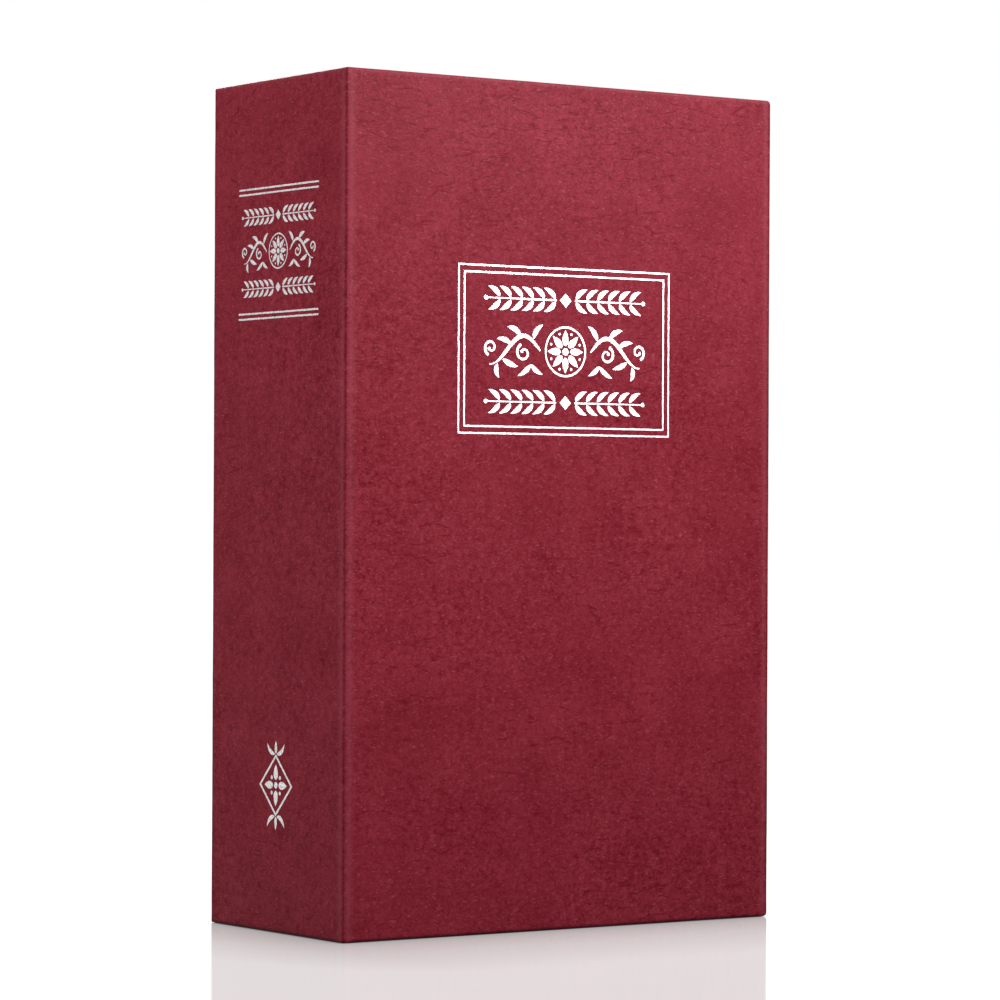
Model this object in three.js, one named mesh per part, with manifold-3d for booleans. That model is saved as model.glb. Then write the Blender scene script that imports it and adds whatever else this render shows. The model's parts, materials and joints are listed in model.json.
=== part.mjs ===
// A book diversion safe: a hard-backed book case round a block of moulded pages, with a
// small steel strongbox inside it. Millimetres, +Z up. The book stands on its tail edge.
// X runs from the spine (low) to the fore edge (high), and Y from the front cover (low)
// to the back cover (high). The origin is the middle of the foot print, on the floor.

import * as THREE from 'three';
import { mergeVertices } from 'three/addons/utils/BufferGeometryUtils.js';
import Module from 'manifold-3d';

const wasm = await Module();
wasm.setup();

// The closed book
const bookHeight = 180;
const bookWidth = 111;
const bookThickness = 53;

// The case: three grey boards, V-grooved where they meet, in one covering paper
const boardThickness = 2;
const paperThickness = 0.25;
const endpaperThickness = 0.2;
const glueLine = 0.05;
const turnInWidth = 14;
const endpaperMargin = 3;
const foldRadius = 0.7;
const mitreClearance = 0.35;
const backMitreClearance = 0.05;
const jointPaperReach = 3.5;

// The block of pages: a moulded frame with ridges for the leaves
const square = 3;
const coverClearance = 0.4;
const leafPitch = 2.2;
const leafGrooveWidth = 0.7;
const leafGrooveDepth = 0.5;
const pageWall = 5;

// The strongbox and its lid
const sheet = 1;
const lidRecess = 3;
const lidClearance = 0.5;
const lipClearance = 0.4;
const lipDepth = 6;
const lipFloorClearance = 0.85;
const boxFit = 0.15;
const flangeWidth = 5;
const hingeFlangeWidth = 9;
const boxCornerRadius = 2;
const weldLine = 0.05;

// The piano hinge of the lid
const hingeInset = 3.4;
const hingeEndMargin = 6.5;
const knuckleCount = 15;
const knuckleGap = 0.3;
const knuckleRadius = 1.7;
const pinRadius = 0.7;
const pinClearance = 0.15;
const pinOverhang = 1;
const leafThickness = 0.8;
const leafWidth = 8;
const leafGap = 0.6;
const barrelClearance = 0.3;

// The cam lock
const lockFromForeEdgeWall = 20;
const lockFlangeRadius = 9;
const lockFlangeThickness = 2;
const lockFlangeChamfer = 0.8;
const lockBarrelRadius = 7.9;
const lockAcrossFlats = 13.8;
const lockLength = 15;
const lockHoleClearance = 0.15;
const nutAcrossFlats = 19;
const nutThickness = 3;
const lockWasherThickness = 0.8;
const washerRadius = 10;
const threadClearance = 0.15;
const plugRadius = 5.5;
const plugClearance = 0.2;
const plugHeadRadius = 6.5;
const plugHeadThickness = 1.3;
const plugTailSide = 6.4;
const tailClearance = 0.15;
const keywayWidth = 1.6;
const keywayHeight = 5.8;
const keywayWard = 0.7;
const keywayWardLow = 0.7;
const keywayWardHigh = 1.45;
const stopThickness = 1;
const stopWallThickness = 0.8;
const stopTabAngle = 40;
const stopSlack = 2;
const lockTurn = 90;
const camThickness = 2;
const camLength = 17;
const camHubRadius = 7;
const camWidth = 11;
const stackGap = 0.3;
const washerGap = 0.1;
const camWasherThickness = 0.8;
const camWasherMargin = 1;
const camScrewRadius = 1.95;
const camScrewDepth = 7;
const camScrewHeadRadius = 3.8;
const camScrewHeadHeight = 2.2;
const camScrewHeadTopRadius = 2.7;
const camScrewHeadRim = 1.3;
const camScrewSlotWidth = 0.8;
const camScrewSlotDepth = 1;

// The wafers that hold the plug until a key lifts them
const waferCount = 5;
const waferPitch = 2.3;
const firstWaferDepth = 2.5;
const waferThickness = 1;
const waferWidth = 5.2;
const waferHeight = 9.4;
const waferWindowWidth = 2.6;
const waferWindowHeight = 6.2;
const waferWindowSteps = [0.3, -0.4, 0.5, 0, -0.6];
const waferClearance = 0.15;
const waferTravel = 1.2;
const waferLugReach = 1.3;
const waferLugHeight = 1.4;
const waferSpringRadius = 0.5;
const waferSpringLength = 2.4;

// The keeper that the cam turns behind
const keeperSheet = 1.2;
const keeperShelf = 7;
const keeperLeg = 13;
const keeperHeight = 26;
const keeperClearance = 0.4;

// Screws from inside the strongbox into the pages
const screwRadius = 1.45;
const screwLength = 5.5;
const screwHeadRadius = 2.8;
const screwHeadHeight = 1.6;
const screwHeadTopRadius = 1.7;
const screwHeadRim = 0.6;
const screwSlotWidth = 0.7;
const screwSlotReach = 1.5;
const screwSlotDepth = 0.9;
const screwHoleClearance = 0.2;
const screwDepthFromBack = 12;
const screwFromEnd = 32;

// Facets of round pieces, and how far a cut runs past what it cuts
const roundSides = 32;
const smallSides = 12;
const cornerSteps = 4;
const overcut = 1;

// Levels that the sizes above fix
const spineFace = -bookWidth / 2;
const foreEdge = bookWidth / 2;
const frontFace = -bookThickness / 2;
const backFace = bookThickness / 2;
const middleHeight = bookHeight / 2;

const boardDepth = paperThickness + glueLine;
const turnInDepth = boardDepth + boardThickness + glueLine;
const caseThickness = turnInDepth + paperThickness;
const coverThickness = caseThickness + glueLine + endpaperThickness;

const block = {
  left: spineFace + caseThickness + glueLine,
  right: foreEdge - square,
  bottom: square,
  top: bookHeight - square,
  front: frontFace + coverThickness + coverClearance,
  back: backFace - coverThickness - glueLine,
};

const hingeX = block.left + hingeInset;
const lidLeft = hingeX + knuckleRadius + barrelClearance;
const lid = {
  left: lidLeft,
  right: block.right - pageWall - lidClearance,
  bottom: block.bottom + pageWall + lidClearance,
  top: block.top - pageWall - lidClearance,
  outer: block.front + lidRecess,
};
lid.inner = lid.outer + sheet;
lid.lipEnd = lid.outer + lipDepth;
const hingeLength = lid.top - lid.bottom - 2 * hingeEndMargin;

const lidLeafFront = lid.inner + weldLine;
const hingeY = lidLeafFront + leafThickness + leafGap / 2;
const bodyLeafFront = hingeY + leafGap / 2;

const box = {
  left: lidLeft + weldLine,
  right: lid.right - sheet - lipClearance,
  bottom: lid.bottom + sheet + lipClearance,
  top: lid.top - sheet - lipClearance,
  rim: bodyLeafFront + leafThickness + weldLine,
  back: block.back,
};

const lockX = box.right - sheet - lockFromForeEdgeWall;
const stopDepth = lockLength + stackGap;
const camDepth = stopDepth + stopThickness + stackGap;
const camWasherDepth = camDepth + camThickness + washerGap;
const camHeadDepth = camWasherDepth + camWasherThickness + washerGap;
const camFront = lid.outer + camDepth;

// Finishes
const finish = (color, roughness, metalness = 0) => ({ color, roughness, metalness });
const redPaper = finish(0x8c3040, 0.55);
const greyBoard = finish(0x9a9488, 0.95);
const ivoryPaper = finish(0xefe9db, 0.9);
const ivoryPlastic = finish(0xe9e1cc, 0.65);
const blackEnamel = finish(0x25272b, 0.5, 0.2);
const zincSteel = finish(0xb9bcc0, 0.35, 1);
const chrome = finish(0xd4d6d8, 0.15, 1);
const brass = finish(0xc9a552, 0.3, 1);

// Solids

function solidOf(geometry) {
  const bare = geometry.clone();
  bare.deleteAttribute('normal');
  bare.deleteAttribute('uv');
  const merged = mergeVertices(bare);
  const corners = [...merged.index.array];
  const faces = [];
  for (let i = 0; i < corners.length; i += 3) {
    const [a, b, c] = corners.slice(i, i + 3);
    if (a !== b && b !== c && c !== a) faces.push(a, b, c);
  }
  return new wasm.Manifold(new wasm.Mesh({
    numProp: 3,
    vertProperties: merged.attributes.position.array,
    triVerts: new Uint32Array(faces),
  }));
}

function geometryOf(solid) {
  const mesh = solid.getMesh();
  const geometry = new THREE.BufferGeometry();
  geometry.setAttribute('position', new THREE.BufferAttribute(new Float32Array(mesh.vertProperties), 3));
  geometry.setIndex(new THREE.BufferAttribute(new Uint32Array(mesh.triVerts), 1));
  const flat = geometry.toNonIndexed();
  flat.computeVertexNormals();
  return flat;
}

const cut = (body, ...tools) => tools.reduce((left, tool) => left.subtract(tool), body);
const join = (first, ...others) => others.reduce((whole, piece) => whole.add(piece), first);

function cuboid([x0, y0, z0], [x1, y1, z1]) {
  const geometry = new THREE.BoxGeometry(x1 - x0, y1 - y0, z1 - z0);
  return solidOf(geometry.translate((x0 + x1) / 2, (y0 + y1) / 2, (z0 + z1) / 2));
}

// A flat outline in X and Y, drawn up from z0 to z1.
function upright(outline, z0, z1) {
  const shape = outline instanceof THREE.Shape
    ? outline
    : new THREE.Shape(outline.map(([x, y]) => new THREE.Vector2(x, y)));
  const geometry = new THREE.ExtrudeGeometry(shape, {
    depth: z1 - z0, bevelEnabled: false, curveSegments: cornerSteps,
  });
  return solidOf(geometry.translate(0, 0, z0));
}

// A block with its four Y-going edges rounded, as folded sheet has them.
function roundedTray({ left, right, bottom, top }, front, back, radius) {
  const shape = new THREE.Shape();
  shape.moveTo(left + radius, bottom);
  shape.lineTo(right - radius, bottom);
  shape.absarc(right - radius, bottom + radius, radius, -Math.PI / 2, 0);
  shape.lineTo(right, top - radius);
  shape.absarc(right - radius, top - radius, radius, 0, Math.PI / 2);
  shape.lineTo(left + radius, top);
  shape.absarc(left + radius, top - radius, radius, Math.PI / 2, Math.PI);
  shape.lineTo(left, bottom + radius);
  shape.absarc(left + radius, bottom + radius, radius, Math.PI, Math.PI * 1.5);
  const geometry = new THREE.ExtrudeGeometry(shape, {
    depth: back - front, bevelEnabled: false, curveSegments: cornerSteps,
  });
  return solidOf(geometry.rotateX(Math.PI / 2).translate(0, back, 0));
}

// A round piece about Z, from a profile of [radius, height] points.
function turned(profile, sides = roundSides) {
  const points = profile.map(([radius, height]) => new THREE.Vector2(radius, height));
  return solidOf(new THREE.LatheGeometry(points, sides).rotateX(Math.PI / 2));
}

const rod = (radius, z0, z1, sides = roundSides) =>
  turned([[0, z0], [radius, z0], [radius, z1], [0, z1]], sides);

const tube = (outer, inner, z0, z1, sides = roundSides) =>
  turned([[inner, z0], [outer, z0], [outer, z1], [inner, z1], [inner, z0]], sides);

function node(name, solid, look) {
  const mesh = new THREE.Mesh(geometryOf(solid), new THREE.MeshStandardMaterial(look));
  mesh.name = name;
  return mesh;
}

// The case

// A board of the front cover, with its spine edge cut to a mitre. Depths are from the outer face.
function frontSlab(near, far, right, z0, z1) {
  const corner = (depth) => [spineFace + depth + mitreClearance, frontFace + depth];
  return upright([corner(near), [right, frontFace + near], [right, frontFace + far], corner(far)], z0, z1);
}

function backSlab(near, far, right, z0, z1) {
  const corner = (depth) => [spineFace + depth + backMitreClearance, backFace - depth];
  return upright([corner(far), [right, backFace - far], [right, backFace - near], corner(near)], z0, z1);
}

function spineSlab(near, far, z0, z1) {
  const frontEnd = (depth) => [spineFace + depth, frontFace + depth + mitreClearance];
  const backEnd = (depth) => [spineFace + depth, backFace - depth - backMitreClearance];
  return upright([frontEnd(near), frontEnd(far), backEnd(far), backEnd(near)], z0, z1);
}

function boards() {
  const low = boardDepth;
  const high = bookHeight - boardDepth;
  const right = foreEdge - boardDepth;
  const far = boardDepth + boardThickness;
  return [
    node('front_board', frontSlab(boardDepth, far, right, low, high), greyBoard),
    node('spine_board', spineSlab(boardDepth, far, low, high), greyBoard),
    node('back_board', backSlab(boardDepth, far, right, low, high), greyBoard),
  ];
}

// What the covering paper of a cover leaves free: the board's room, the window between the
// turn-ins and the strip next to the spine.
function coverPaper(slab, outerFace, inward) {
  const at = (depth) => outerFace + inward * depth;
  const span = (a, b) => [Math.min(at(a), at(b)), Math.max(at(a), at(b))];
  const left = spineFace - overcut;
  const [boardFront, boardBack] = span(paperThickness, turnInDepth);
  const [windowFront, windowBack] = span(boardDepth, coverThickness);
  const boardRoom = cuboid(
    [left, boardFront, paperThickness],
    [foreEdge - paperThickness, boardBack, bookHeight - paperThickness]);
  const window = cuboid(
    [left, windowFront, turnInWidth],
    [foreEdge - turnInWidth, windowBack, bookHeight - turnInWidth]);
  return cut(slab, boardRoom, window);
}

function frontPaper() {
  const start = spineFace + jointPaperReach + glueLine;
  const slab = cuboid([start, frontFace, 0], [foreEdge, frontFace + caseThickness, bookHeight]);
  return node('cover_paper_front', coverPaper(slab, frontFace, 1), redPaper);
}

function backPaper() {
  const slab = backSlab(0, caseThickness, foreEdge, 0, bookHeight);
  return node('cover_paper_back', coverPaper(slab, backFace, -1), redPaper);
}

function spinePaper() {
  const start = frontFace + jointPaperReach + glueLine;
  const slab = cut(
    spineSlab(0, caseThickness, 0, bookHeight),
    cuboid(
      [spineFace - overcut, frontFace - overcut, -overcut],
      [spineFace + caseThickness + overcut, start, bookHeight + overcut]));
  const boardRoom = cuboid(
    [spineFace + paperThickness, frontFace, paperThickness],
    [spineFace + turnInDepth, backFace, bookHeight - paperThickness]);
  const window = cuboid(
    [spineFace + boardDepth, frontFace, turnInWidth],
    [spineFace + coverThickness, backFace, bookHeight - turnInWidth]);
  return node('cover_paper_spine', cut(slab, boardRoom, window), redPaper);
}

// The stretch of paper that folds when the front cover opens.
function jointPaper() {
  const inner = foldRadius - paperThickness;
  const cx = spineFace + foldRadius;
  const cy = frontFace + foldRadius;
  const shape = new THREE.Shape();
  shape.moveTo(spineFace + jointPaperReach, frontFace);
  shape.lineTo(spineFace + jointPaperReach, frontFace + paperThickness);
  shape.lineTo(cx, frontFace + paperThickness);
  shape.absarc(cx, cy, inner, -Math.PI / 2, -Math.PI, true);
  shape.lineTo(spineFace + paperThickness, frontFace + jointPaperReach);
  shape.lineTo(spineFace, frontFace + jointPaperReach);
  shape.lineTo(spineFace, cy);
  shape.absarc(cx, cy, foldRadius, Math.PI, Math.PI * 1.5);
  return node('joint_paper', upright(shape, 0, bookHeight), redPaper);
}

// A lining sheet over the turn-ins, with the pad that fills the window between them.
function endpaper(name, outerFace, inward) {
  const at = (depth) => outerFace + inward * depth;
  const pad = turnInWidth + glueLine;
  const layer = (low, high, a, b) => cuboid(
    [low[0], Math.min(at(a), at(b)), low[1]],
    [high[0], Math.max(at(a), at(b)), high[1]]);
  const left = spineFace + coverThickness + 2 * mitreClearance;
  const lining = join(
    layer(
      [left, endpaperMargin],
      [foreEdge - endpaperMargin, bookHeight - endpaperMargin],
      caseThickness + glueLine, coverThickness),
    layer([left, pad], [foreEdge - pad, bookHeight - pad], turnInDepth, coverThickness));
  return node(name, lining, ivoryPaper);
}

// The pages

function screwPlaces() {
  const y = box.back - screwDepthFromBack;
  const across = [box.left + screwFromEnd, box.right - screwFromEnd];
  const along = [box.bottom + screwFromEnd, box.top - screwFromEnd];
  return [
    ...across.map((x) => ({ at: [x, y, box.top - sheet], turn: [0, 0, 0] })),
    ...across.map((x) => ({ at: [x, y, box.bottom + sheet], turn: [Math.PI, 0, 0] })),
    ...along.map((z) => ({ at: [box.right - sheet, y, z], turn: [0, Math.PI / 2, 0] })),
  ];
}

const place = (solid, { at, turn }) => {
  const matrix = new THREE.Matrix4().makeRotationFromEuler(new THREE.Euler(...turn));
  matrix.setPosition(...at);
  return solidOf(geometryOf(solid).applyMatrix4(matrix));
};

const screwHoles = () => {
  const depth = screwLength + 2 * screwHoleClearance;
  const hole = rod(screwRadius + screwHoleClearance, -sheet, depth, smallSides);
  return screwPlaces().map((spot) => place(hole, spot));
};

function pageFrame() {
  const { left, right, bottom, top, front, back } = block;
  const d = leafGrooveDepth;
  const count = Math.floor((back - front + leafGrooveWidth) / leafPitch);
  const pitch = (back - front + leafGrooveWidth) / count;
  let pages = cuboid([left, front, bottom + d], [right - d, back, top - d]);
  for (let i = 0; i < count; i += 1) {
    const y = front + i * pitch;
    pages = pages.add(cuboid([left, y, bottom], [right, y + pitch - leafGrooveWidth, top]));
  }
  const lidRoom = cuboid(
    [left - overcut, front - overcut, lid.bottom - lidClearance],
    [lid.right + lidClearance, lid.lipEnd + lipFloorClearance, lid.top + lidClearance]);
  const boxRoom = roundedTray({
    left: box.left - boxFit, right: box.right + boxFit, bottom: box.bottom - boxFit, top: box.top + boxFit,
  }, front - overcut, back + overcut, boxCornerRadius);
  return node('page_frame', cut(pages, lidRoom, boxRoom, ...screwHoles()), ivoryPlastic);
}

// The strongbox

function strongbox() {
  const within = {
    left: box.left + sheet, right: box.right - sheet, bottom: box.bottom + sheet, top: box.top - sheet,
  };
  const mouth = cuboid(
    [box.left + hingeFlangeWidth, box.rim - overcut, box.bottom + flangeWidth],
    [box.right - flangeWidth, box.back - sheet, box.top - flangeWidth]);
  const shell = cut(
    roundedTray(box, box.rim, box.back, boxCornerRadius),
    roundedTray(within, box.rim + sheet, box.back - sheet, boxCornerRadius - sheet),
    mouth,
    ...screwHoles());
  return node('strongbox_body', shell, blackEnamel);
}

function keeper() {
  const wall = box.right - sheet - weldLine;
  const front = camFront - keeperClearance - keeperSheet;
  const low = middleHeight - keeperHeight / 2;
  const high = middleHeight + keeperHeight / 2;
  const bracket = join(
    cuboid([wall - keeperSheet, front, low], [wall, front + keeperLeg, high]),
    cuboid([wall - keeperShelf, front, low], [wall, front + keeperSheet, high]));
  return node('lock_keeper', bracket, zincSteel);
}

function boxScrews() {
  const screw = turned([
    [0, -screwHeadHeight], [screwHeadTopRadius, -screwHeadHeight],
    [screwHeadRadius, -screwHeadRim], [screwHeadRadius, -weldLine], [screwRadius, -weldLine],
    [screwRadius, screwLength - screwRadius], [0, screwLength],
  ], smallSides);
  const half = screwSlotWidth / 2;
  const top = -screwHeadHeight - overcut;
  const floor = -screwHeadHeight + screwSlotDepth;
  const cross = join(
    cuboid([-screwSlotReach, -half, top], [screwSlotReach, half, floor]),
    cuboid([-half, -screwSlotReach, top], [half, screwSlotReach, floor]));
  return screwPlaces().map(({ at, turn }, i) => {
    const mesh = node(`box_screw_${i + 1}`, cut(screw, cross), zincSteel);
    mesh.position.set(...at);
    mesh.rotation.set(...turn);
    return mesh;
  });
}

// The hinge. A leaf and its share of the knuckles, with the pin's axis at the origin and the
// leaf to the right of it. side is -1 for the lid's leaf and 1 for the body's.

function hingeLeaf(name, side, first) {
  const pitch = hingeLength / knuckleCount;
  const start = knuckleRadius + barrelClearance;
  const faces = [side * leafGap / 2, side * (leafGap / 2 + leafThickness)].sort((a, b) => a - b);
  let leaf = cuboid([start, faces[0], -hingeLength / 2], [start + leafWidth, faces[1], hingeLength / 2]);
  for (let i = first; i < knuckleCount; i += 2) {
    const low = -hingeLength / 2 + i * pitch + knuckleGap / 2;
    const high = low + pitch - knuckleGap;
    leaf = join(leaf,
      rod(knuckleRadius, low, high, smallSides),
      cuboid([0, faces[0], low], [start + knuckleRadius, faces[1], high]));
  }
  const bore = rod(pinRadius + pinClearance, -hingeLength, hingeLength, smallSides);
  return node(name, cut(leaf, bore), zincSteel);
}

function hingePin() {
  const end = hingeLength / 2 + pinOverhang;
  return node('hinge_pin', rod(pinRadius, -end, end, smallSides), zincSteel);
}

// The lid

function doubleD(radius, acrossFlats, z0, z1) {
  const flats = cuboid([-radius - overcut, -acrossFlats / 2, z0], [radius + overcut, acrossFlats / 2, z1]);
  return rod(radius, z0, z1).intersect(flats);
}

function lidPanel() {
  const left = lid.left - boxCornerRadius;
  const within = { left, right: lid.right - sheet, bottom: lid.bottom + sheet, top: lid.top - sheet };
  const pan = cut(
    roundedTray({ ...lid, left }, lid.outer, lid.lipEnd, boxCornerRadius),
    roundedTray(within, lid.inner, lid.lipEnd + overcut, boxCornerRadius - sheet),
    cuboid(
      [left - boxCornerRadius, lid.outer - overcut, 0],
      [lid.left, lid.lipEnd + overcut, bookHeight]));
  const holeRadius = lockBarrelRadius + lockHoleClearance;
  const hole = place(
    doubleD(holeRadius, lockAcrossFlats + 2 * lockHoleClearance, -2 * sheet, 2 * sheet),
    { at: [lockX, lid.outer, middleHeight], turn: [Math.PI / 2, 0, 0] });
  return node('lid_panel', cut(pan, hole), blackEnamel);
}

// The lock, drawn about its own axis: Z is out of the lid, towards the key, and 0 is the lid's face.

function lockHousing() {
  const front = lockFlangeThickness;
  const body = join(
    turned([[0, weldLine], [lockFlangeRadius, weldLine], [lockFlangeRadius, front - lockFlangeChamfer],
      [lockFlangeRadius - lockFlangeChamfer, front], [0, front]]),
    doubleD(lockBarrelRadius, lockAcrossFlats, -lockLength, front / 2));
  const stopReach = stopThickness + stackGap;
  const open = lockTurn + stopTabAngle + stopSlack;
  const fullTurn = 360;
  const stopWall = sector(
    lockBarrelRadius, lockBarrelRadius - stopWallThickness,
    -lockLength - stopReach, -lockLength + stackGap, 90 + stopTabAngle / 2 + stopSlack / 2, fullTurn - open);
  const bore = rod(plugRadius + plugClearance, -2 * lockLength, 2 * lockLength);
  const headFloor = front - plugHeadThickness - plugClearance / 2;
  const headRoom = rod(plugHeadRadius + plugClearance, headFloor, 2 * lockLength);
  const shaft = cut(body, bore, headRoom, ...waferCatches());
  const withinFlats = doubleD(lockBarrelRadius, lockAcrossFlats, -2 * lockLength, 0);
  return node('lock_housing', shaft.add(stopWall.intersect(withinFlats)), chrome);
}

// The two grooves that the wafers spring out into, one for each end of the plug's turn.
function waferCatches() {
  const half = waferWidth / 2 + 2 * waferClearance;
  const reach = waferHeight / 2 + waferTravel + 2 * waferClearance;
  const near = -firstWaferDepth + waferThickness / 2 + 2 * waferClearance;
  const far = -firstWaferDepth - waferPitch * (waferCount - 1) - waferThickness / 2 - 2 * waferClearance;
  return [
    cuboid([-half, 0, far], [half, reach, near]),
    cuboid([0, -half, far], [reach, half, near]),
  ];
}

// Part of a ring, from a start angle round by a sweep, both in degrees.
function sector(outer, inner, z0, z1, start, sweep) {
  const from = THREE.MathUtils.degToRad(start);
  const to = THREE.MathUtils.degToRad(start + sweep);
  const shape = new THREE.Shape();
  shape.absarc(0, 0, outer, from, to);
  shape.absarc(0, 0, inner, to, from, true);
  const geometry = new THREE.ExtrudeGeometry(shape, {
    depth: z1 - z0, bevelEnabled: false, curveSegments: roundSides / 2,
  });
  return solidOf(geometry.translate(0, 0, z0));
}

function lockNut() {
  const z1 = -sheet - weldLine - lockWasherThickness - weldLine;
  const radius = nutAcrossFlats / Math.sqrt(3);
  const nut = rod(radius, z1 - nutThickness, z1, 6);
  const bore = rod(lockBarrelRadius + threadClearance, -lockLength, lockLength);
  return node('lock_nut', cut(nut, bore), zincSteel);
}

function lockWasher() {
  const z1 = -sheet - weldLine;
  const ring = tube(washerRadius, lockBarrelRadius + threadClearance, z1 - lockWasherThickness, z1);
  return node('lock_washer', ring, zincSteel);
}

// The plug and what turns with it

const squareHole = (side, z0, z1) => cuboid([-side / 2, -side / 2, z0], [side / 2, side / 2, z1]);
const lugSide = waferWidth / 2 + waferLugReach;

function lockPlug() {
  const face = lockFlangeThickness + weldLine;
  const headBack = lockFlangeThickness - plugHeadThickness;
  const body = join(
    turned([[0, -lockLength - weldLine], [plugRadius, -lockLength - weldLine], [plugRadius, headBack],
      [plugHeadRadius, headBack], [plugHeadRadius, face], [0, face]]),
    squareHole(plugTailSide, -camDepth - camThickness, 0));
  const keywayEnd = firstWaferDepth + waferPitch * waferCount;
  const keywaySide = keywayWidth / 2;
  const keyway = join(
    cuboid([-keywaySide, -keywayHeight / 2, -keywayEnd], [keywaySide, keywayHeight / 2, face + overcut]),
    cuboid([0, keywayWardLow, -keywayEnd], [keywaySide + keywayWard, keywayWardHigh, face + overcut]));
  const slots = Array.from({ length: waferCount }, (_, i) => {
    const middle = -firstWaferDepth - i * waferPitch;
    const z0 = middle - waferThickness / 2 - waferClearance;
    const z1 = middle + waferThickness / 2 + waferClearance;
    const half = waferWidth / 2 + waferClearance;
    return join(
      cuboid([-half, -plugHeadRadius, z0], [half, plugHeadRadius, z1]),
      cuboid([0, -waferLugHeight / 2 - waferSpringLength - waferClearance, z0],
        [lugSide + waferClearance, waferLugHeight / 2 + waferTravel + waferClearance, z1]));
  });
  const screwEnd = -camHeadDepth + camScrewDepth + stackGap;
  const screwHole = rod(camScrewRadius + threadClearance, -2 * lockLength, screwEnd, smallSides);
  return node('lock_plug', cut(body, keyway, ...slots, screwHole), chrome);
}

function wafers() {
  const plateOf = (left, right, height) => cuboid(
    [left, -height / 2, -waferThickness / 2],
    [right, height / 2, waferThickness / 2]);
  return Array.from({ length: waferCount }, (_, i) => {
    const plate = join(
      plateOf(-waferWidth / 2, waferWidth / 2, waferHeight),
      plateOf(0, lugSide, waferLugHeight));
    const middle = waferWindowSteps[i % waferWindowSteps.length];
    const window = cuboid(
      [-waferWindowWidth / 2, middle - waferWindowHeight / 2, -waferThickness],
      [waferWindowWidth / 2, middle + waferWindowHeight / 2, waferThickness]);
    const mesh = node(`wafer_${i + 1}`, cut(plate, window), brass);
    mesh.position.z = -firstWaferDepth - i * waferPitch;
    return mesh;
  });
}

function waferSprings() {
  return Array.from({ length: waferCount }, (_, i) => {
    const length = waferSpringLength - 2 * weldLine;
    const mesh = node(`wafer_spring_${i + 1}`, rod(waferSpringRadius, 0, length, smallSides), zincSteel);
    mesh.rotation.x = Math.PI / 2;
    mesh.position.set(
      lugSide - waferSpringRadius - waferClearance,
      -waferLugHeight / 2 - weldLine,
      -firstWaferDepth - i * waferPitch);
    return mesh;
  });
}

function stopWasher() {
  const radius = lockBarrelRadius - stopWallThickness - stackGap;
  const back = -stopDepth - stopThickness;
  const tabStart = 90 - stopTabAngle / 2;
  const disc = join(
    rod(radius, back, -stopDepth),
    sector(
      lockBarrelRadius - stackGap / 2, radius - stopWallThickness,
      back, -stopDepth, tabStart, stopTabAngle));
  const hole = squareHole(plugTailSide + 2 * tailClearance, -3 * lockLength, 0);
  return node('stop_washer', cut(disc, hole), zincSteel);
}

function lockCam() {
  const back = -camDepth - camThickness;
  const tip = camWidth / 2;
  const arm = join(
    rod(camHubRadius, back, -camDepth),
    cuboid([-camWidth / 2, 0, back], [camWidth / 2, camLength - tip, -camDepth]),
    rod(tip, back, -camDepth).translate([0, camLength - tip, 0]));
  const hole = squareHole(plugTailSide + 2 * tailClearance, -3 * lockLength, 0);
  return node('lock_cam', cut(arm, hole), zincSteel);
}

function camWasher() {
  const ring = tube(camScrewHeadRadius + camWasherMargin, camScrewRadius + threadClearance,
    -camWasherDepth - camWasherThickness, -camWasherDepth, roundSides);
  return node('cam_washer', ring, zincSteel);
}

function camScrew() {
  const head = -camHeadDepth;
  const end = head - camScrewHeadHeight;
  const screw = turned([
    [0, end], [camScrewHeadTopRadius, end], [camScrewHeadRadius, head - camScrewHeadRim],
    [camScrewHeadRadius, head], [camScrewRadius, head],
    [camScrewRadius, head + camScrewDepth], [0, head + camScrewDepth],
  ]);
  const slot = cuboid(
    [-camScrewHeadRadius - overcut, -camScrewSlotWidth / 2, end - overcut],
    [camScrewHeadRadius + overcut, camScrewSlotWidth / 2, end + camScrewSlotDepth]);
  return node('cam_screw', cut(screw, slot), zincSteel);
}

// The whole book

const group = (...members) => new THREE.Group().add(...members);

const [frontBoard, spineBoard, backBoard] = boards();
const frontCover = group(frontBoard, frontPaper(), endpaper('front_endpaper', frontFace, 1));
const bookCase = group(
  spineBoard, backBoard, spinePaper(), backPaper(), jointPaper(), endpaper('back_endpaper', backFace, -1));

const safe = group(pageFrame(), strongbox(), keeper(), ...boxScrews());

const hinge = group(hingeLeaf('hinge_leaf_body', 1, 0), hingeLeaf('hinge_leaf_lid', -1, 1), hingePin());
hinge.position.set(hingeX, hingeY, (lid.bottom + lid.top) / 2);

const plug = group(
  lockPlug(), stopWasher(), lockCam(), camWasher(), camScrew(), ...wafers(), ...waferSprings());
const lock = group(lockHousing(), lockWasher(), lockNut(), plug);
lock.position.set(lockX, lid.outer, middleHeight);
lock.rotation.x = Math.PI / 2;

const book = group(frontCover, bookCase, safe, hinge, lidPanel(), lock);

export default book;
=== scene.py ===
"""The looks of a book diversion safe: a red, silver-stamped book with a steel strongbox among its pages.

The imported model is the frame. Everything here is in metres in that frame: +Z is up, the spine
faces -X, the front cover faces -Y and the book stands on the floor at z = 0.
"""
from __future__ import annotations

import json
import logging
import math
import random
from dataclasses import dataclass
from enum import Enum
from typing import Callable, Sequence

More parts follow.
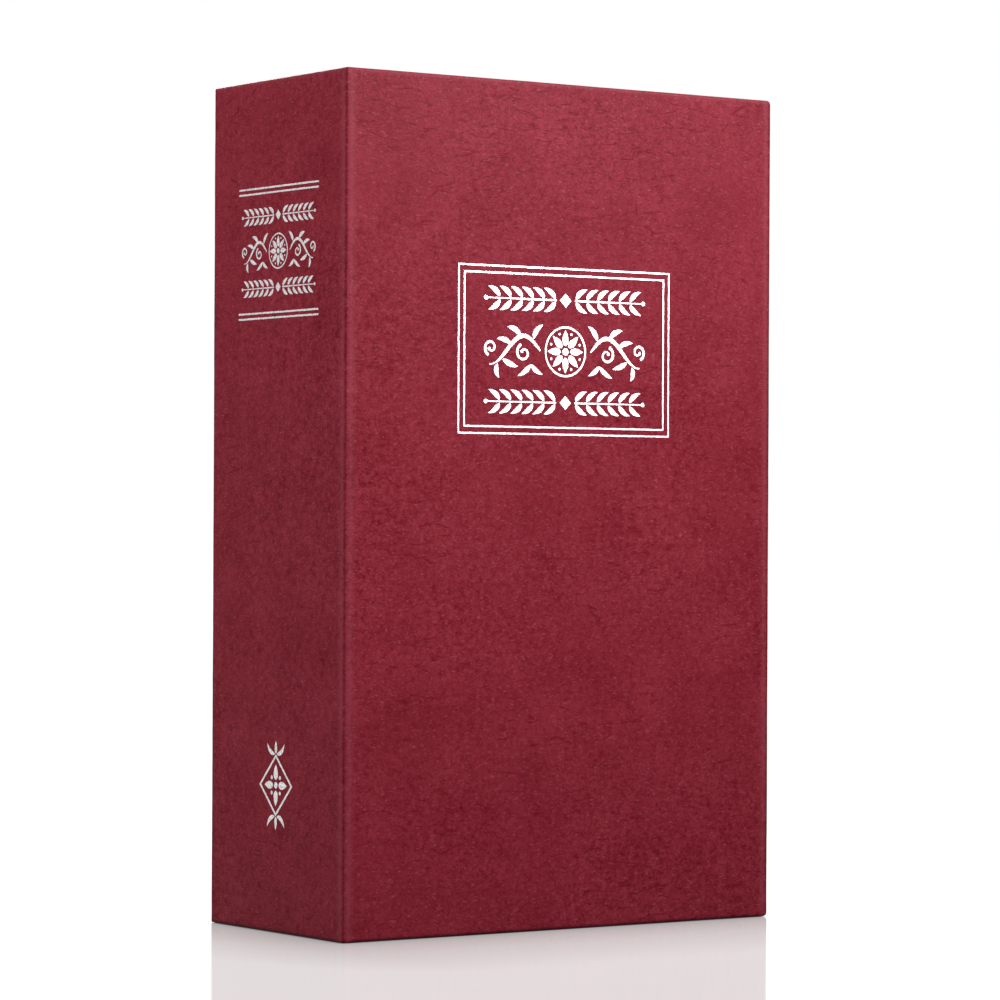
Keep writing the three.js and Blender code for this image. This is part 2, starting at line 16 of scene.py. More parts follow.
import bmesh
import bpy
from mathutils import Matrix, Vector, noise
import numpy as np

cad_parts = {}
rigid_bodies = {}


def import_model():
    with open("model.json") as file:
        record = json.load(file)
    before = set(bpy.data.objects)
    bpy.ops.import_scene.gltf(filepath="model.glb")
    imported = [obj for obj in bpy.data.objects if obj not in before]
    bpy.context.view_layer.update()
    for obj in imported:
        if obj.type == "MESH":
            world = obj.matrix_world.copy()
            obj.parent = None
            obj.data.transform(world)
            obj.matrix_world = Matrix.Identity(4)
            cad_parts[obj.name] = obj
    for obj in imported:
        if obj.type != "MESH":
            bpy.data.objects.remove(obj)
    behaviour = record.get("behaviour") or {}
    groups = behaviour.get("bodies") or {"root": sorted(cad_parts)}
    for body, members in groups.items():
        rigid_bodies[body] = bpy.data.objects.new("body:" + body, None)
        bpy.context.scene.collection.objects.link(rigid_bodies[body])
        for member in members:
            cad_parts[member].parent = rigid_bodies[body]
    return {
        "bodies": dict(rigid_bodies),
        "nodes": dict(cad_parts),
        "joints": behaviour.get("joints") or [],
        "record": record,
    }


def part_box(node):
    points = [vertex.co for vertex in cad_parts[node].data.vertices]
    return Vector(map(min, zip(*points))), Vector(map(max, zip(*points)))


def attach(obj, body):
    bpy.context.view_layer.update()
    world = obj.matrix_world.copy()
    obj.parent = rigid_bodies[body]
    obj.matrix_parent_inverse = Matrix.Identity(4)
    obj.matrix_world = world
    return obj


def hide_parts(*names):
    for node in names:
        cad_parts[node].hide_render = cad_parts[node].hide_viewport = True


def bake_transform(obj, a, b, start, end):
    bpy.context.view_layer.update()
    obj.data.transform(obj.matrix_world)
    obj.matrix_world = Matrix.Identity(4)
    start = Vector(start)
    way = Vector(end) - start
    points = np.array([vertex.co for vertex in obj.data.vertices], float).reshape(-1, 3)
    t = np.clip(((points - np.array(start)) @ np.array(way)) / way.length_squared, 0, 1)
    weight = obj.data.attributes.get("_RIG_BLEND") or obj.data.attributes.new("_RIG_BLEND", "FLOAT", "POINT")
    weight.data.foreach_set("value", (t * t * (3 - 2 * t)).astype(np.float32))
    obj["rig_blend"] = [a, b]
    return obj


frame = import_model()

Tree, Socket, Mesh = bpy.types.NodeTree, bpy.types.NodeSocket, bmesh.types.BMesh
Pairs = list[tuple[float, float]]

LOG = logging.getLogger("book_safe")
MM = 0.001
MERGE = 0.002 * MM
WHITE = (1.0, 1.0, 1.0, 1.0)
# Bits that say at which edges of its board a vertex of the covering paper lies.
HEAD, TAIL, FORE = 1, 2, 4


class Side(Enum):
    """The faces of the case that are stamped with foil."""

    FRONT = "front"
    SPINE = "spine"


def linear(code: str) -> tuple[float, float, float, float]:
    """Turns an sRGB colour into the linear one that shaders take.

    Args:
        code: The colour as six hex digits.

    Returns:
        Red, green, blue and an alpha of 1.
    """
    parts = [int(code[i:i + 2], 16) / 255 for i in (0, 2, 4)]
    red, green, blue = (p / 12.92 if p <= 0.04045 else ((p + 0.055) / 1.055) ** 2.4 for p in parts)
    return red, green, blue, 1.0


def feed(tree: Tree, node: bpy.types.Node, inputs: dict | Sequence) -> None:
    """Gives a node its inputs, by name or number or in order: a socket is linked and a value is set."""
    for key, value in inputs.items() if isinstance(inputs, dict) else enumerate(inputs):
        if isinstance(value, Socket):
            tree.links.new(value, node.inputs[key])
        else:
            node.inputs[key].default_value = value


def add_node(tree: Tree, kind: str, inputs: dict | Sequence = (), out: int | str = 0,
             **fields: object) -> Socket | None:
    """Adds one node to a tree.

    Args:
        tree: The node tree of a material or of the world.
        kind: The node's type name, after the ShaderNode that all of them start with.
        inputs: Its inputs, as feed takes them.
        out: The output that is wanted, by name or number.
        fields: Values of its own fields.

    Returns:
        That output's socket, or None where the node has no output.
    """
    made = tree.nodes.new(f"ShaderNode{kind}")
    for key, value in fields.items():
        setattr(made, key, value)
    feed(tree, made, inputs)
    return made.outputs[out] if made.outputs else None


def grains(tree: Tree, place: Socket, size: float, detail: float = 2.0,
           stretch: Sequence[float] = (1, 1, 1), roughness: float = 0.5) -> Socket:
    """Adds soft noise whose grains have a real size.

    Args:
        tree: The material's node tree.
        place: The coordinates that it reads, in metres.
        size: Width of a grain, in metres.
        detail: Octaves of finer grain.
        stretch: How many times longer a grain is along each axis.
        roughness: Weight of each finer octave.

    Returns:
        The noise, from 0 to 1.
    """
    moved = add_node(tree, "Mapping", {"Vector": place, "Scale": [1 / (size * s) for s in stretch]})
    inputs = {"Vector": moved, "Scale": 1.0, "Detail": detail, "Roughness": roughness}
    return add_node(tree, "TexNoise", inputs)


def weighed(tree: Tree, *parts: tuple[Socket, float]) -> Socket:
    """Adds two values, each times its weight, and returns the sum's socket."""
    return add_node(tree, "Math", [add_node(tree, "Math", part, operation="MULTIPLY") for part in parts],
                    operation="ADD")


def layered(tree: Tree, base: str, *coats: tuple[Socket, str]) -> Socket:
    """Lays colours over a base, each by its own share, and returns the result's socket."""
    tone = linear(base)
    for share, colour in coats:
        tone = add_node(tree, "Mix", {0: share, 6: tone, 7: linear(colour)}, 2, data_type="RGBA")
    return tone


@dataclass(frozen=True)
class Finish:
    """A finish with a Principled shader. Its subclasses say what the real surface is."""

    name: str

    def look(self, tree: Tree, place: Socket) -> dict:
        """Adds the surface's nodes. Each finish gives its own version.

        Args:
            tree: The material's node tree.
            place: Object coordinates, in metres.

        Returns:
            Inputs of the Principled shader by name, each a socket or a value.
        """
        raise NotImplementedError

    def material(self) -> bpy.types.Material:
        """Returns the finish as a material, made once."""
        made = bpy.data.materials.get(self.name)
        if not made:
            made = bpy.data.materials.new(self.name)
            made.use_nodes = True
            tree = made.node_tree
            place = add_node(tree, "TexCoord", out="Object")
            feed(tree, tree.nodes["Principled BSDF"], self.look(tree, place))
        return made


@dataclass(frozen=True)
class CoveringPaper(Finish):
    """Coloured covering paper, plate-embossed like leather.

    The eye sees a matt, mottled red. Pale flecks are painted on it as glints. The plate's broken creases run
    both ways, with small pebbles between them, and are painted darker as shade. Pale strips along the head,
    beside the joint and inside the fore edge are painted highlight, and the tail, the fore edge and the back
    corner are painted dark as shade.
    """

    name: str = "embossed covering paper"
    deep: str = "700E1D"
    pale: str = "A23847"
    # Colour of the pale flecks painted as glints on the grain's pebbles.
    painted_glint: str = "C0707C"
    # Painted colours along the edges: a pale highlight at the head, the joint and the fore edge, and a dark
    # shade at the tail, the fore edge and the back corner.
    painted_edge_highlight: str = "BC6C78"
    painted_dark_edge: str = "2A0A10"
    mottle: float = 1.9 * MM
    cloud: float = 11.0 * MM
    calm: float = 34.0 * MM
    patch: float = 22.0 * MM
    # Size of the grain that places the painted glints.
    fibre: float = 0.45 * MM
    crease_long: float = 8.0 * MM
    crease_short: float = 2.4 * MM
    pebble: float = 1.5 * MM
    wobble: float = 3.0 * MM
    swing: float = 1.1 * MM
    relief: float = 0.04 * MM
    upright_share: float = 0.5
    pebble_share: float = 0.65
    # Strength of the painted shade that darkens the creases.
    crease_shade_strength: float = 0.8
    crease_depth: float = 0.6
    # Share of the painted glints.
    painted_glint_share: float = 0.32
    # Shares of the painted edge highlight and of the painted edge shade.
    painted_edge_highlight_share: float = 0.16
    painted_dark_edge_share: float = 0.7
    # More than this hazes the spine, which is seen at a low angle against the white room.
    specular: float = 0.021

    def creases(self, tree: Tree, place: Socket, across: float, up: float, shift: float) -> Socket:
        """Adds a broken network of pressed creases.

        Args:
            tree: The material's node tree.
            place: Warped coordinates, in metres.
            across: Width of a cell of the network.
            up: Height of a cell.
            shift: How far the network is moved, so that no two are alike.

        Returns:
            1 in a crease and 0 beside it.
        """
        moved = add_node(tree, "Mapping", {"Vector": place, "Location": (shift, shift, shift),
                                           "Scale": (1 / across, 1 / across, 1 / up)})
        cells = add_node(tree, "TexVoronoi", {"Vector": moved, "Scale": 1.0}, feature="DISTANCE_TO_EDGE")
        line = add_node(tree, "MapRange", (cells, 0.0, 0.1, 1.0, 0.0))
        gaps = add_node(tree, "MapRange", (grains(tree, moved, 0.5), 0.5, 0.6))
        patches = add_node(tree, "MapRange", (grains(tree, place, self.patch, 1.0), 0.4, 0.62, 0.15, 1.0))
        broken = add_node(tree, "Math", (line, gaps), operation="MULTIPLY")
        return add_node(tree, "Math", (broken, patches), operation="MULTIPLY")

    def look(self, tree: Tree, place: Socket) -> dict:
        """Colours, roughens and embosses the paper. See Finish.look."""
        warp = add_node(tree, "TexNoise", {"Vector": place, "Scale": 1 / self.wobble, "Detail": 2.0}, "Color")
        warp = add_node(tree, "VectorMath", (warp, (0.5, 0.5, 0.5)), operation="SUBTRACT")
        warp = add_node(tree, "VectorMath", {0: warp, "Scale": self.swing}, operation="SCALE")
        bent = add_node(tree, "VectorMath", (place, warp), operation="ADD")
        crease = self.creases(tree, bent, self.crease_long, self.crease_short, 0.0)
        for across, up, shift, strength in ((self.crease_short, self.crease_long, 3.7, self.upright_share),
                                            (self.pebble, self.pebble * 0.7, 7.1, self.pebble_share)):
            network = self.creases(tree, bent, across, up, shift)
            faint = add_node(tree, "Math", (network, strength), operation="MULTIPLY")
            crease = add_node(tree, "Math", (crease, faint), operation="MAXIMUM")

        mottle = grains(tree, place, self.mottle, 3.0, (1, 1, 0.85), 1.0)
        cloud = grains(tree, place, self.cloud, 1.0)
        # Grain that places the pale flecks painted as glints.
        glint_grains = grains(tree, bent, self.fibre, 1.0, (2.2, 2.2, 0.8))
        calm = add_node(tree, "MapRange", (grains(tree, place, self.calm, 1.0), 0.35, 0.65, 0.6, 1.1))
        grain = add_node(tree, "Math", (mottle, 0.5), operation="SUBTRACT")
        grain = add_node(tree, "Math", (grain, calm), operation="MULTIPLY")
        share = add_node(tree, "MapRange", (weighed(tree, (grain, 0.9), (cloud, 0.2)), -0.1, 0.3))
        # Painted shade: the creases are coloured darker.
        crease_shade = add_node(tree, "Math", (crease, self.crease_shade_strength), operation="MULTIPLY")
        # Painted highlight: pale glints on the grain.
        painted_glint = add_node(tree, "MapRange", (glint_grains, 0.6, 0.8))
        painted_glint = add_node(tree, "Math", (painted_glint, self.painted_glint_share), operation="MULTIPLY")
        # Along the edges, the attribute paints highlight above 0 and shade below 0.
        edge_light_and_shade = add_node(tree, "Attribute", out="Fac", attribute_name="edge_light_and_shade")
        painted_edge_highlight = add_node(tree, "MapRange", (edge_light_and_shade, 0.0, 1.0, 0.0, self.painted_edge_highlight_share))
        painted_dark_edge = add_node(tree, "MapRange", (edge_light_and_shade, -1.0, 0.0, self.painted_dark_edge_share, 0.0))
        sunk = add_node(tree, "Math", (crease, self.crease_depth), operation="MULTIPLY")
        rise = add_node(tree, "Math", (mottle, sunk), operation="SUBTRACT")
        return {"Base Color": layered(tree, self.deep, (share, self.pale), (crease_shade, self.deep),
                                      (painted_glint, self.painted_glint), (painted_edge_highlight, self.painted_edge_highlight), (painted_dark_edge, self.painted_dark_edge)),
                "Roughness": add_node(tree, "MapRange", (mottle, 0.3, 0.7, 0.31, 0.41)),
                "Normal": add_node(tree, "Bump", {"Strength": 1.0, "Distance": self.relief, "Height": rise}),
                "Specular IOR Level": self.specular}


@dataclass(frozen=True)
class SilverFoil(Finish):
    """Hot-stamped aluminium foil: bright, and a little broken where the paper's grain shows through."""

    name: str = "hot stamped silver foil"
    bright: str = "DAD8D8"
    dull: str = "AAA5A6"
    grain: float = 0.5 * MM
    relief: float = 0.03 * MM

    def look(self, tree: Tree, place: Socket) -> dict:
        """Colours and roughens the foil. See Finish.look."""
        fine = grains(tree, place, self.grain, 3.0)
        share = add_node(tree, "MapRange", (fine, 0.35, 0.6))
        return {"Base Color": layered(tree, self.dull, (share, self.bright)),
                "Roughness": add_node(tree, "MapRange", (fine, 0.3, 0.7, 0.42, 0.28)),
                "Normal": add_node(tree, "Bump", {"Strength": 0.5, "Distance": self.relief, "Height": fine}),
                "Metallic": 1.0}


@dataclass(frozen=True)
class PlainPaper(Finish):
    """Uncoated paper or pulp board: dull, with faint fibrous streaks and clouding."""

    name: str = "endpaper"
    light: str = "F1EBDD"
    dark: str = "E2D9C6"
    fibre: float = 0.35 * MM
    relief: float = 0.02 * MM
    cloud: float = 8.0 * MM

    def look(self, tree: Tree, place: Socket) -> dict:
        """Colours and roughens the paper. See Finish.look."""
        cloud = grains(tree, place, self.cloud, 3.0)
        hair = grains(tree, place, self.fibre, stretch=(4, 4, 1))
        share = add_node(tree, "MapRange", (weighed(tree, (cloud, 0.6), (hair, 0.4)), 0.35, 0.65))
        return {"Base Color": layered(tree, self.dark, (share, self.light)), "Roughness": 0.85,
                "Normal": add_node(tree, "Bump", {"Strength": 0.5, "Distance": self.relief, "Height": hair})}


@dataclass(frozen=True)
class MouldedPages(Finish):
    """Ivory ABS, moulded with fine lines so that its edges pass for leaves of paper.

    Leaves of 0.1 mm wouldn't show, so the lines are drawn coarser. Broader bands stand for gatherings.
    """

    name: str = "moulded ABS pages"
    light: str = "F2EBDA"
    dark: str = "C3B594"
    leaf: float = 0.26 * MM
    gathering: float = 1.7 * MM
    relief: float = 0.04 * MM

    def look(self, tree: Tree, place: Socket) -> dict:
        """Draws the leaves as lines that run along the block. See Finish.look."""
        leaves = grains(tree, place, self.leaf, stretch=(400, 1, 400), roughness=0.7)
        gatherings = grains(tree, place, self.gathering, 1.0, (60, 1, 60))
        share = add_node(tree, "MapRange", (weighed(tree, (leaves, 0.75), (gatherings, 0.25)), 0.34, 0.56))
        ribs = {"Strength": 0.6, "Distance": self.relief, "Height": leaves}
        return {"Base Color": layered(tree, self.dark, (share, self.light)), "Roughness": 0.62,
                "Normal": add_node(tree, "Bump", ribs)}


@dataclass(frozen=True)
class PowderCoat(Finish):
    """Black powder coat on folded steel: satin, with a fine orange-peel texture."""

    name: str = "black powder coat"
    body: str = "202124"
    pale: str = "27282B"
    peel: float = 0.45 * MM
    cloud: float = 14.0 * MM
    relief: float = 0.05 * MM

    def look(self, tree: Tree, place: Socket) -> dict:
        """Colours and textures the coat. See Finish.look."""
        peel = grains(tree, place, self.peel)
        cloud = grains(tree, place, self.cloud)
        share = add_node(tree, "MapRange", (cloud, 0.35, 0.65))
        return {"Base Color": layered(tree, self.body, (share, self.pale)),
                "Roughness": add_node(tree, "MapRange", (cloud, 0.3, 0.7, 0.42, 0.47)),
                "Normal": add_node(tree, "Bump", {"Strength": 0.5, "Distance": self.relief, "Height": peel})}


@dataclass(frozen=True)
class PlatedMetal(Finish):
    """Plated metal, brushed or turned: faint lines along its run, and clouds where hands have touched it."""

    name: str = "zinc plated steel"
    light: str = "C8CBCF"
    dark: str = "B6BABF"
    smooth: float = 0.3
    rough: float = 0.37
    scratch: float = 0.3 * MM
    run: Sequence[float] = (1, 1, 12)
    cloud: float = 1.4 * MM
    relief: float = 0.01 * MM

    def look(self, tree: Tree, place: Socket) -> dict:
        """Colours and brushes the metal. See Finish.look."""
        lines = grains(tree, place, self.scratch, stretch=self.run)
        cloud = grains(tree, place, self.cloud)
        share = add_node(tree, "MapRange", (cloud, 0.3, 0.7))
        return {"Base Color": layered(tree, self.dark, (share, self.light)),
                "Roughness": add_node(tree, "MapRange", (cloud, 0.3, 0.7, self.smooth, self.rough)),
                "Normal": add_node(tree, "Bump", {"Strength": 0.2, "Distance": self.relief, "Height": lines}),
                "Metallic": 1.0}


COVERING = CoveringPaper()
FOIL = SilverFoil()
ENDPAPER = PlainPaper()
GREY_BOARD = PlainPaper("grey board", "A39C90", "847D72", 0.6 * MM, 0.06 * MM)
PAGES = MouldedPages()
ENAMEL = PowderCoat()
ZINC = PlatedMetal()
NICKEL = PlatedMetal("polished nickel plate", "D9D7D3", "CECBC6", 0.1, 0.16, 0.2 * MM, (1, 1, 1))
BRASS = PlatedMetal("turned brass", "CDA75A", "BC9448", 0.3, 0.36)


@dataclass
class Frame:
    """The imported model, the outer faces of the book that are read from it, and a cover's thickness."""

    kit: dict

    def __post_init__(self) -> None:
        """Reads the faces from the covering papers."""
        front_low, front_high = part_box("cover_paper_front")
        self.spine_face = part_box("cover_paper_spine")[0].x
        self.fore_edge = front_high.x
        self.front_face = front_low.y
        self.back_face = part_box("cover_paper_back")[1].y
        self.height = front_high.z
        self.case = front_high.y - front_low.y

    def middle(self) -> Vector:
        """Returns the middle of the closed book."""
        return Vector((self.spine_face + self.fore_edge, self.front_face + self.back_face, self.height)) / 2

    def copy_of(self, node: str) -> Mesh:
        """Returns a merged copy of a CAD node's mesh, with its flat faces whole again."""
        mesh = bmesh.new()
        mesh.from_mesh(self.kit["nodes"][node].data)
        bmesh.ops.remove_doubles(mesh, verts=mesh.verts, dist=MERGE)
        bmesh.ops.dissolve_limit(mesh, angle_limit=math.radians(1), verts=mesh.verts, edges=mesh.edges)
        return mesh

    def dress(self, node: str, finish: Finish) -> None:
        """Gives a CAD node that stays in view its finish."""
        piece = self.kit["nodes"][node]
        piece.data.materials.clear()
        piece.data.materials.append(finish.material())
        LOG.info("%s: %s", node, finish.name)


def settle(name: str, mesh: Mesh, finish: Finish, body: str | None,
           nodes: Sequence[str] = (), smooth_angle: float = 40.0) -> bpy.types.Object:
    """Turns a bmesh into a finished piece at the origin, on its body.

    Args:
        name: The piece's name.
        mesh: Its shape, which is freed.
        finish: Its finish.
        body: The body that carries it, or None where it is blended later.
        nodes: The CAD nodes that it stands for.
        smooth_angle: Edges sharper than this many degrees stay sharp.

    Returns:
        The new object.
    """
    for face in mesh.faces:
        face.smooth = True
    for edge in mesh.edges:
        edge.smooth = len(edge.link_faces) == 2 and edge.calc_face_angle(0.0) < math.radians(smooth_angle)
    data = bpy.data.meshes.new(name)
    mesh.to_mesh(data)
    mesh.free()
    data.materials.append(finish.material())
    piece = bpy.data.objects.new(name, data)
    bpy.context.scene.collection.objects.link(piece)
    if body:
        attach(piece, body)
    if nodes:
        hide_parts(*nodes)
    LOG.info("%s: %s, %d faces", name, finish.name, len(data.polygons))
    return piece


def emboss(point: Vector) -> float:
    """Returns the height, to either side of zero, of the soft waves of glued paper over its board."""
    wide, wide_height = 21 * MM, 0.05 * MM
    narrow, narrow_height, squeeze = 3.4 * MM, 0.022 * MM, 1.7
    squeezed = Vector((point.x, point.y, point.z * squeeze))
    return wide_height * noise.noise(point / wide) + narrow_height * noise.noise(squeezed / narrow)


def spread(start: float, end: float, pitch: float) -> list[float]:
    """Returns even stations from start to end, about a pitch apart."""
    count = max(1, round(abs(end - start) / pitch))
    return [start + (end - start) * i / count for i in range(count + 1)]


def closer_ends(stations: list[float], step: float) -> list[float]:
    """Adds a station a step inside each end, where the paper's wear changes quickly."""
    return [stations[0], stations[0] + step] + stations[1:-1] + [stations[-1] - step, stations[-1]]


def polar(turn: float, reach: float = 1.0) -> Vector:
    """Returns the point at a turn, in radians, on a circle about zero."""
    return Vector((math.cos(turn), math.sin(turn))) * reach


@dataclass
class Outline:
    """The case seen from above, as distances along its outer face.

    The near corner, between spine and front cover, folds when the cover opens. The back corner doesn't.
    """

    frame: Frame
    edge_fold: float = 0.35 * MM
    near_fold: float = 0.4 * MM
    back_fold: float = 0.45 * MM
    reach: float = 0.9 * MM
    mitre_gap: float = 0.2 * MM
    pitch: float = 1.0 * MM
    end_step: float = 0.45 * MM
    arc_cells: int = 6

    def spine_leg(self) -> float:
        """Returns how far the back sheet runs on the spine, from the joint to the back corner's arc."""
        return self.frame.back_face - self.back_fold - self.frame.front_face - self.reach

    def front_stations(self) -> list[float]:
        """Returns where the front sheet has its columns, from the joint to the fore edge's fold."""
        length = self.frame.fore_edge - self.edge_fold - self.frame.spine_face - self.reach
        return closer_ends(spread(0.0, length, self.pitch), self.end_step)

    def back_stations(self) -> list[float]:
        """Returns where the back sheet has its columns, from the joint to the fore edge's fold."""
        leg = self.spine_leg()
        arc = leg + self.back_fold * math.pi / 2
        end = arc + self.frame.fore_edge - self.edge_fold - self.frame.spine_face - self.back_fold
        around = spread(leg, arc, (arc - leg) / self.arc_cells)
        on_spine = closer_ends(spread(0.0, leg, self.pitch), self.end_step)
        return on_spine + around[1:] + closer_ends(spread(arc, end, self.pitch), self.end_step)[1:]

    def joint_stations(self) -> list[float]:
        """Returns where the joint strip has its columns, from the spine round to the front cover."""
        flat = self.reach - self.near_fold
        arc = self.near_fold * math.pi / 2
        around = spread(flat, flat + arc, arc / (2 * self.arc_cells))
        return spread(0.0, flat, flat / 2) + around[1:] + spread(flat + arc, 2 * flat + arc, flat / 2)[1:]

    def on_front(self, along: float, depth: float, inset: float) -> tuple[float, float]:
        """Returns x and y of a point of the front sheet. See on_back."""
        x = min(self.frame.spine_face + self.reach + along, self.frame.fore_edge - inset)
        return max(x, self.frame.spine_face + depth + self.mitre_gap), self.frame.front_face + depth

    def on_back(self, along: float, depth: float, inset: float) -> tuple[float, float]:
        """Places a point of the sheet that covers the spine and, round the corner, the back.

        Args:
            along: Distance from the joint.
            depth: Depth behind the outer face.
            inset: Least distance from the fore edge.

        Returns:
            x and y.
        """
        left, front, back = self.frame.spine_face, self.frame.front_face, self.frame.back_face
        leg = self.spine_leg()
        arc = self.back_fold * math.pi / 2
        if along <= leg:
            y = max(front + self.reach + along, front + depth + self.mitre_gap)
            return left + depth, min(y, back - depth)
        if along >= leg + arc:
            x = left + self.back_fold + along - leg - arc
            return min(max(x, left + depth), self.frame.fore_edge - inset), back - depth
        radius = self.back_fold - depth
        if radius <= 0:
            return left + depth, back - depth
        turn = (along - leg) / self.back_fold
        x = left + self.back_fold - radius * math.cos(turn)
        return x, back - self.back_fold + radius * math.sin(turn)

    def on_joint(self, along: float, depth: float, _: float) -> tuple[float, float]:
        """Returns x and y of a point of the joint strip, from its spine end. See on_back."""
        left, front = self.frame.spine_face, self.frame.front_face
        flat = self.reach - self.near_fold
        arc = self.near_fold * math.pi / 2
        if along <= flat:
            return left + depth, front + self.reach - along
        if along >= flat + arc:
            return left + self.near_fold + along - flat - arc, front + depth
        turn = (along - flat) / self.near_fold
        radius = self.near_fold - depth
        x = left + self.near_fold - radius * math.cos(turn)
        return x, front + self.near_fold - radius * math.sin(turn)


@dataclass
class TurnIn:
    """How the sheet folds round the edge of a board: an arc, the edge, an arc and the strip inside."""

    fold: float
    case: float
    strip: float = 13.5 * MM
    arc_steps: int = 3
    strip_steps: int = 4

    def outer(self) -> Pairs:
        """Returns the (depth, inset) pairs of the outer fold."""
        turns = [math.radians(90) * i / self.arc_steps for i in range(1, self.arc_steps + 1)]
        return [(self.fold * (1 - math.cos(turn)), self.fold * (1 - math.sin(turn))) for turn in turns]

    def whole(self) -> Pairs:
        """Returns the (depth, inset) pairs of both folds and the strip inside."""
        start = self.case - self.fold
        turns = [math.radians(90) * i / self.arc_steps for i in range(self.arc_steps + 1)]
        inner = [(start + self.fold * math.sin(turn), self.fold * (1 - math.cos(turn))) for turn in turns]
        flat = [(self.case, inset) for inset in spread(self.fold, self.strip, self.strip / self.strip_steps)]
        return self.outer() + inner + flat[1:]


@dataclass
class CasePaper:
    """The red covering sheet, in the three stretches that move differently."""

    frame: Frame
    outline: Outline
    thickness: float = 0.2 * MM
    pitch: float = 1.0 * MM
    corner: float = 0.22 * MM
    ridge_height: float = 0.05 * MM
    ridge_place: float = 0.24 * MM
    ridge_width: float = 0.11 * MM
    # Reach and inset of the painted edge highlight, then reach and strength of the painted edge shade.
    painted_highlight_reach: float = 0.7 * MM
    painted_highlight_inset: float = 1.3 * MM
    painted_dark_edge_reach: float = 0.5 * MM
    painted_dark_edge_strength: float = 1.4

    def sheet(self, stations: list[float], place: Callable[[float, float, float], tuple[float, float]],
              steps: Pairs, has_fore_edge: bool) -> Mesh:
        """Builds one stretch of the sheet with its turn-ins at head, tail and perhaps the fore edge.

        Args:
            stations: Where it has its columns, as distances along the outline.
            place: Gives x and y from the distance along the outline, the depth and the fore edge's inset.
            steps: The (depth, inset) pairs of the turn-in.
            has_fore_edge: Whether the far end is turned in too.

        Returns:
            The sheet, still without its thickness.
        """
        height, fold = self.frame.height, self.outline.edge_fold
        rows = closer_ends(spread(fold, height - fold, self.pitch), self.outline.end_step)
        columns = len(stations) - 1
        mesh = bmesh.new()
        bmesh.ops.create_grid(mesh, x_segments=columns, y_segments=len(rows) - 1, size=0.5)
        run = mesh.verts.layers.float.new("run")
        side = mesh.verts.layers.int.new("side")
        for vert in mesh.verts:
            column = round((vert.co.x + 0.5) * columns)
            row = round((vert.co.y + 0.5) * (len(rows) - 1))
            vert[run] = stations[column]
            level = HEAD if row == len(rows) - 1 else TAIL if row == 0 else 0
            vert[side] = level + (FORE if has_fore_edge and column == columns else 0)
            vert.co = (*place(vert[run], 0.0, fold), rows[row])
        border = [edge for edge in mesh.edges
                  if edge.is_boundary and edge.verts[0][side] & edge.verts[1][side]]
        for depth, inset in steps:
            made = bmesh.ops.extrude_edge_only(mesh, edges=border)["geom"]
            border = [item for item in made if isinstance(item, bmesh.types.BMEdge)]
            for vert in [item for item in made if isinstance(item, bmesh.types.BMVert)]:
                at_head, at_tail, at_fore = (vert[side] & bit for bit in (HEAD, TAIL, FORE))
                high = height - inset
                up = high if at_head else inset if at_tail else min(max(vert.co.z, inset), high)
                x, y = place(vert[run] + (fold if at_fore else 0.0), depth, inset)
                rounding = self.corner if at_fore and (at_head or at_tail) else 0.0
                vert.co = (x - rounding, y, up - (rounding if at_head else -rounding))
        bmesh.ops.remove_doubles(mesh, verts=mesh.verts, dist=MERGE)
        return mesh

    def finish(self, mesh: Mesh) -> Mesh:
        """Turns the sheet's faces out, waves it and gives it its thickness, inwards."""
        middle = self.frame.middle()
        outward = sum(face.normal.dot(face.calc_center_median() - middle) * face.calc_area()
                      for face in mesh.faces)
        if outward < 0:
            bmesh.ops.reverse_faces(mesh, faces=mesh.faces)
        mesh.normal_update()
        # Stores the painted edge highlight and shade for the material.
        edge_light_and_shade = mesh.verts.layers.float.new("edge_light_and_shade")
        for vert in mesh.verts:
            vert[edge_light_and_shade] = self.painted_edge_tone(vert.co)
            vert.co += vert.normal * emboss(vert.co)
        bmesh.ops.solidify(mesh, geom=mesh.faces, thickness=self.thickness)
        return mesh

    def painted_edge_tone(self, spot: Vector) -> float:
        """Returns the painted highlight and painted shade at a spot of the sheet.

        Args:
            spot: The point, before the paper's waves.

        Returns:
            Up to 1 where highlight is painted pale, as at the head and beside the joint and the fore
            edge, and below 0 where shade is painted dark, as at the tail, the back corner and the fore edge's
            end.
        """
        frame = self.frame
        from_joint = max(spot.x - frame.spine_face, spot.y - frame.front_face)
        from_back = max(spot.x - frame.spine_face, frame.back_face - spot.y)
        from_fore = frame.fore_edge - spot.x
        # Distances to where highlight is painted pale and where shade is painted dark.
        pale = min(frame.height - spot.z, abs(from_joint - self.painted_highlight_inset), abs(from_fore - self.painted_highlight_inset))
        painted_dark_edge = max(min(spot.z, from_fore, from_back), 0.0)
        painted_highlight = math.exp(-(pale / self.painted_highlight_reach) ** 2)
        return painted_highlight - self.painted_dark_edge_strength * math.exp(-(painted_dark_edge / self.painted_dark_edge_reach) ** 2)

    def build(self) -> None:
        """Makes the sheet of the spine and back, the sheet of the front and the joint between them."""
        outline, front, left = self.outline, self.frame.front_face, self.frame.spine_face
        turn_in = TurnIn(outline.edge_fold, self.frame.case)
        back = self.sheet(outline.back_stations(), outline.on_back, turn_in.whole(), True)
        settle("covering_of_spine_and_back", self.finish(back), COVERING, "book_body",
               ["cover_paper_spine", "cover_paper_back"])
        cover = self.sheet(outline.front_stations(), outline.on_front, turn_in.whole(), True)
        settle("covering_of_front", self.finish(cover), COVERING, "front_cover",
               ["cover_paper_front"])
        strip = self.sheet(outline.joint_stations(), outline.on_joint, turn_in.outer(), False)
        self.ridge(strip)
        joint = settle("covering_of_joint", self.finish(strip), COVERING, None,
                       ["joint_paper"])
        level = self.frame.height / 2
        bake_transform(joint, "book_body", "front_cover", start=(left, front + outline.reach, level),
                 end=(left + outline.reach, front, level))

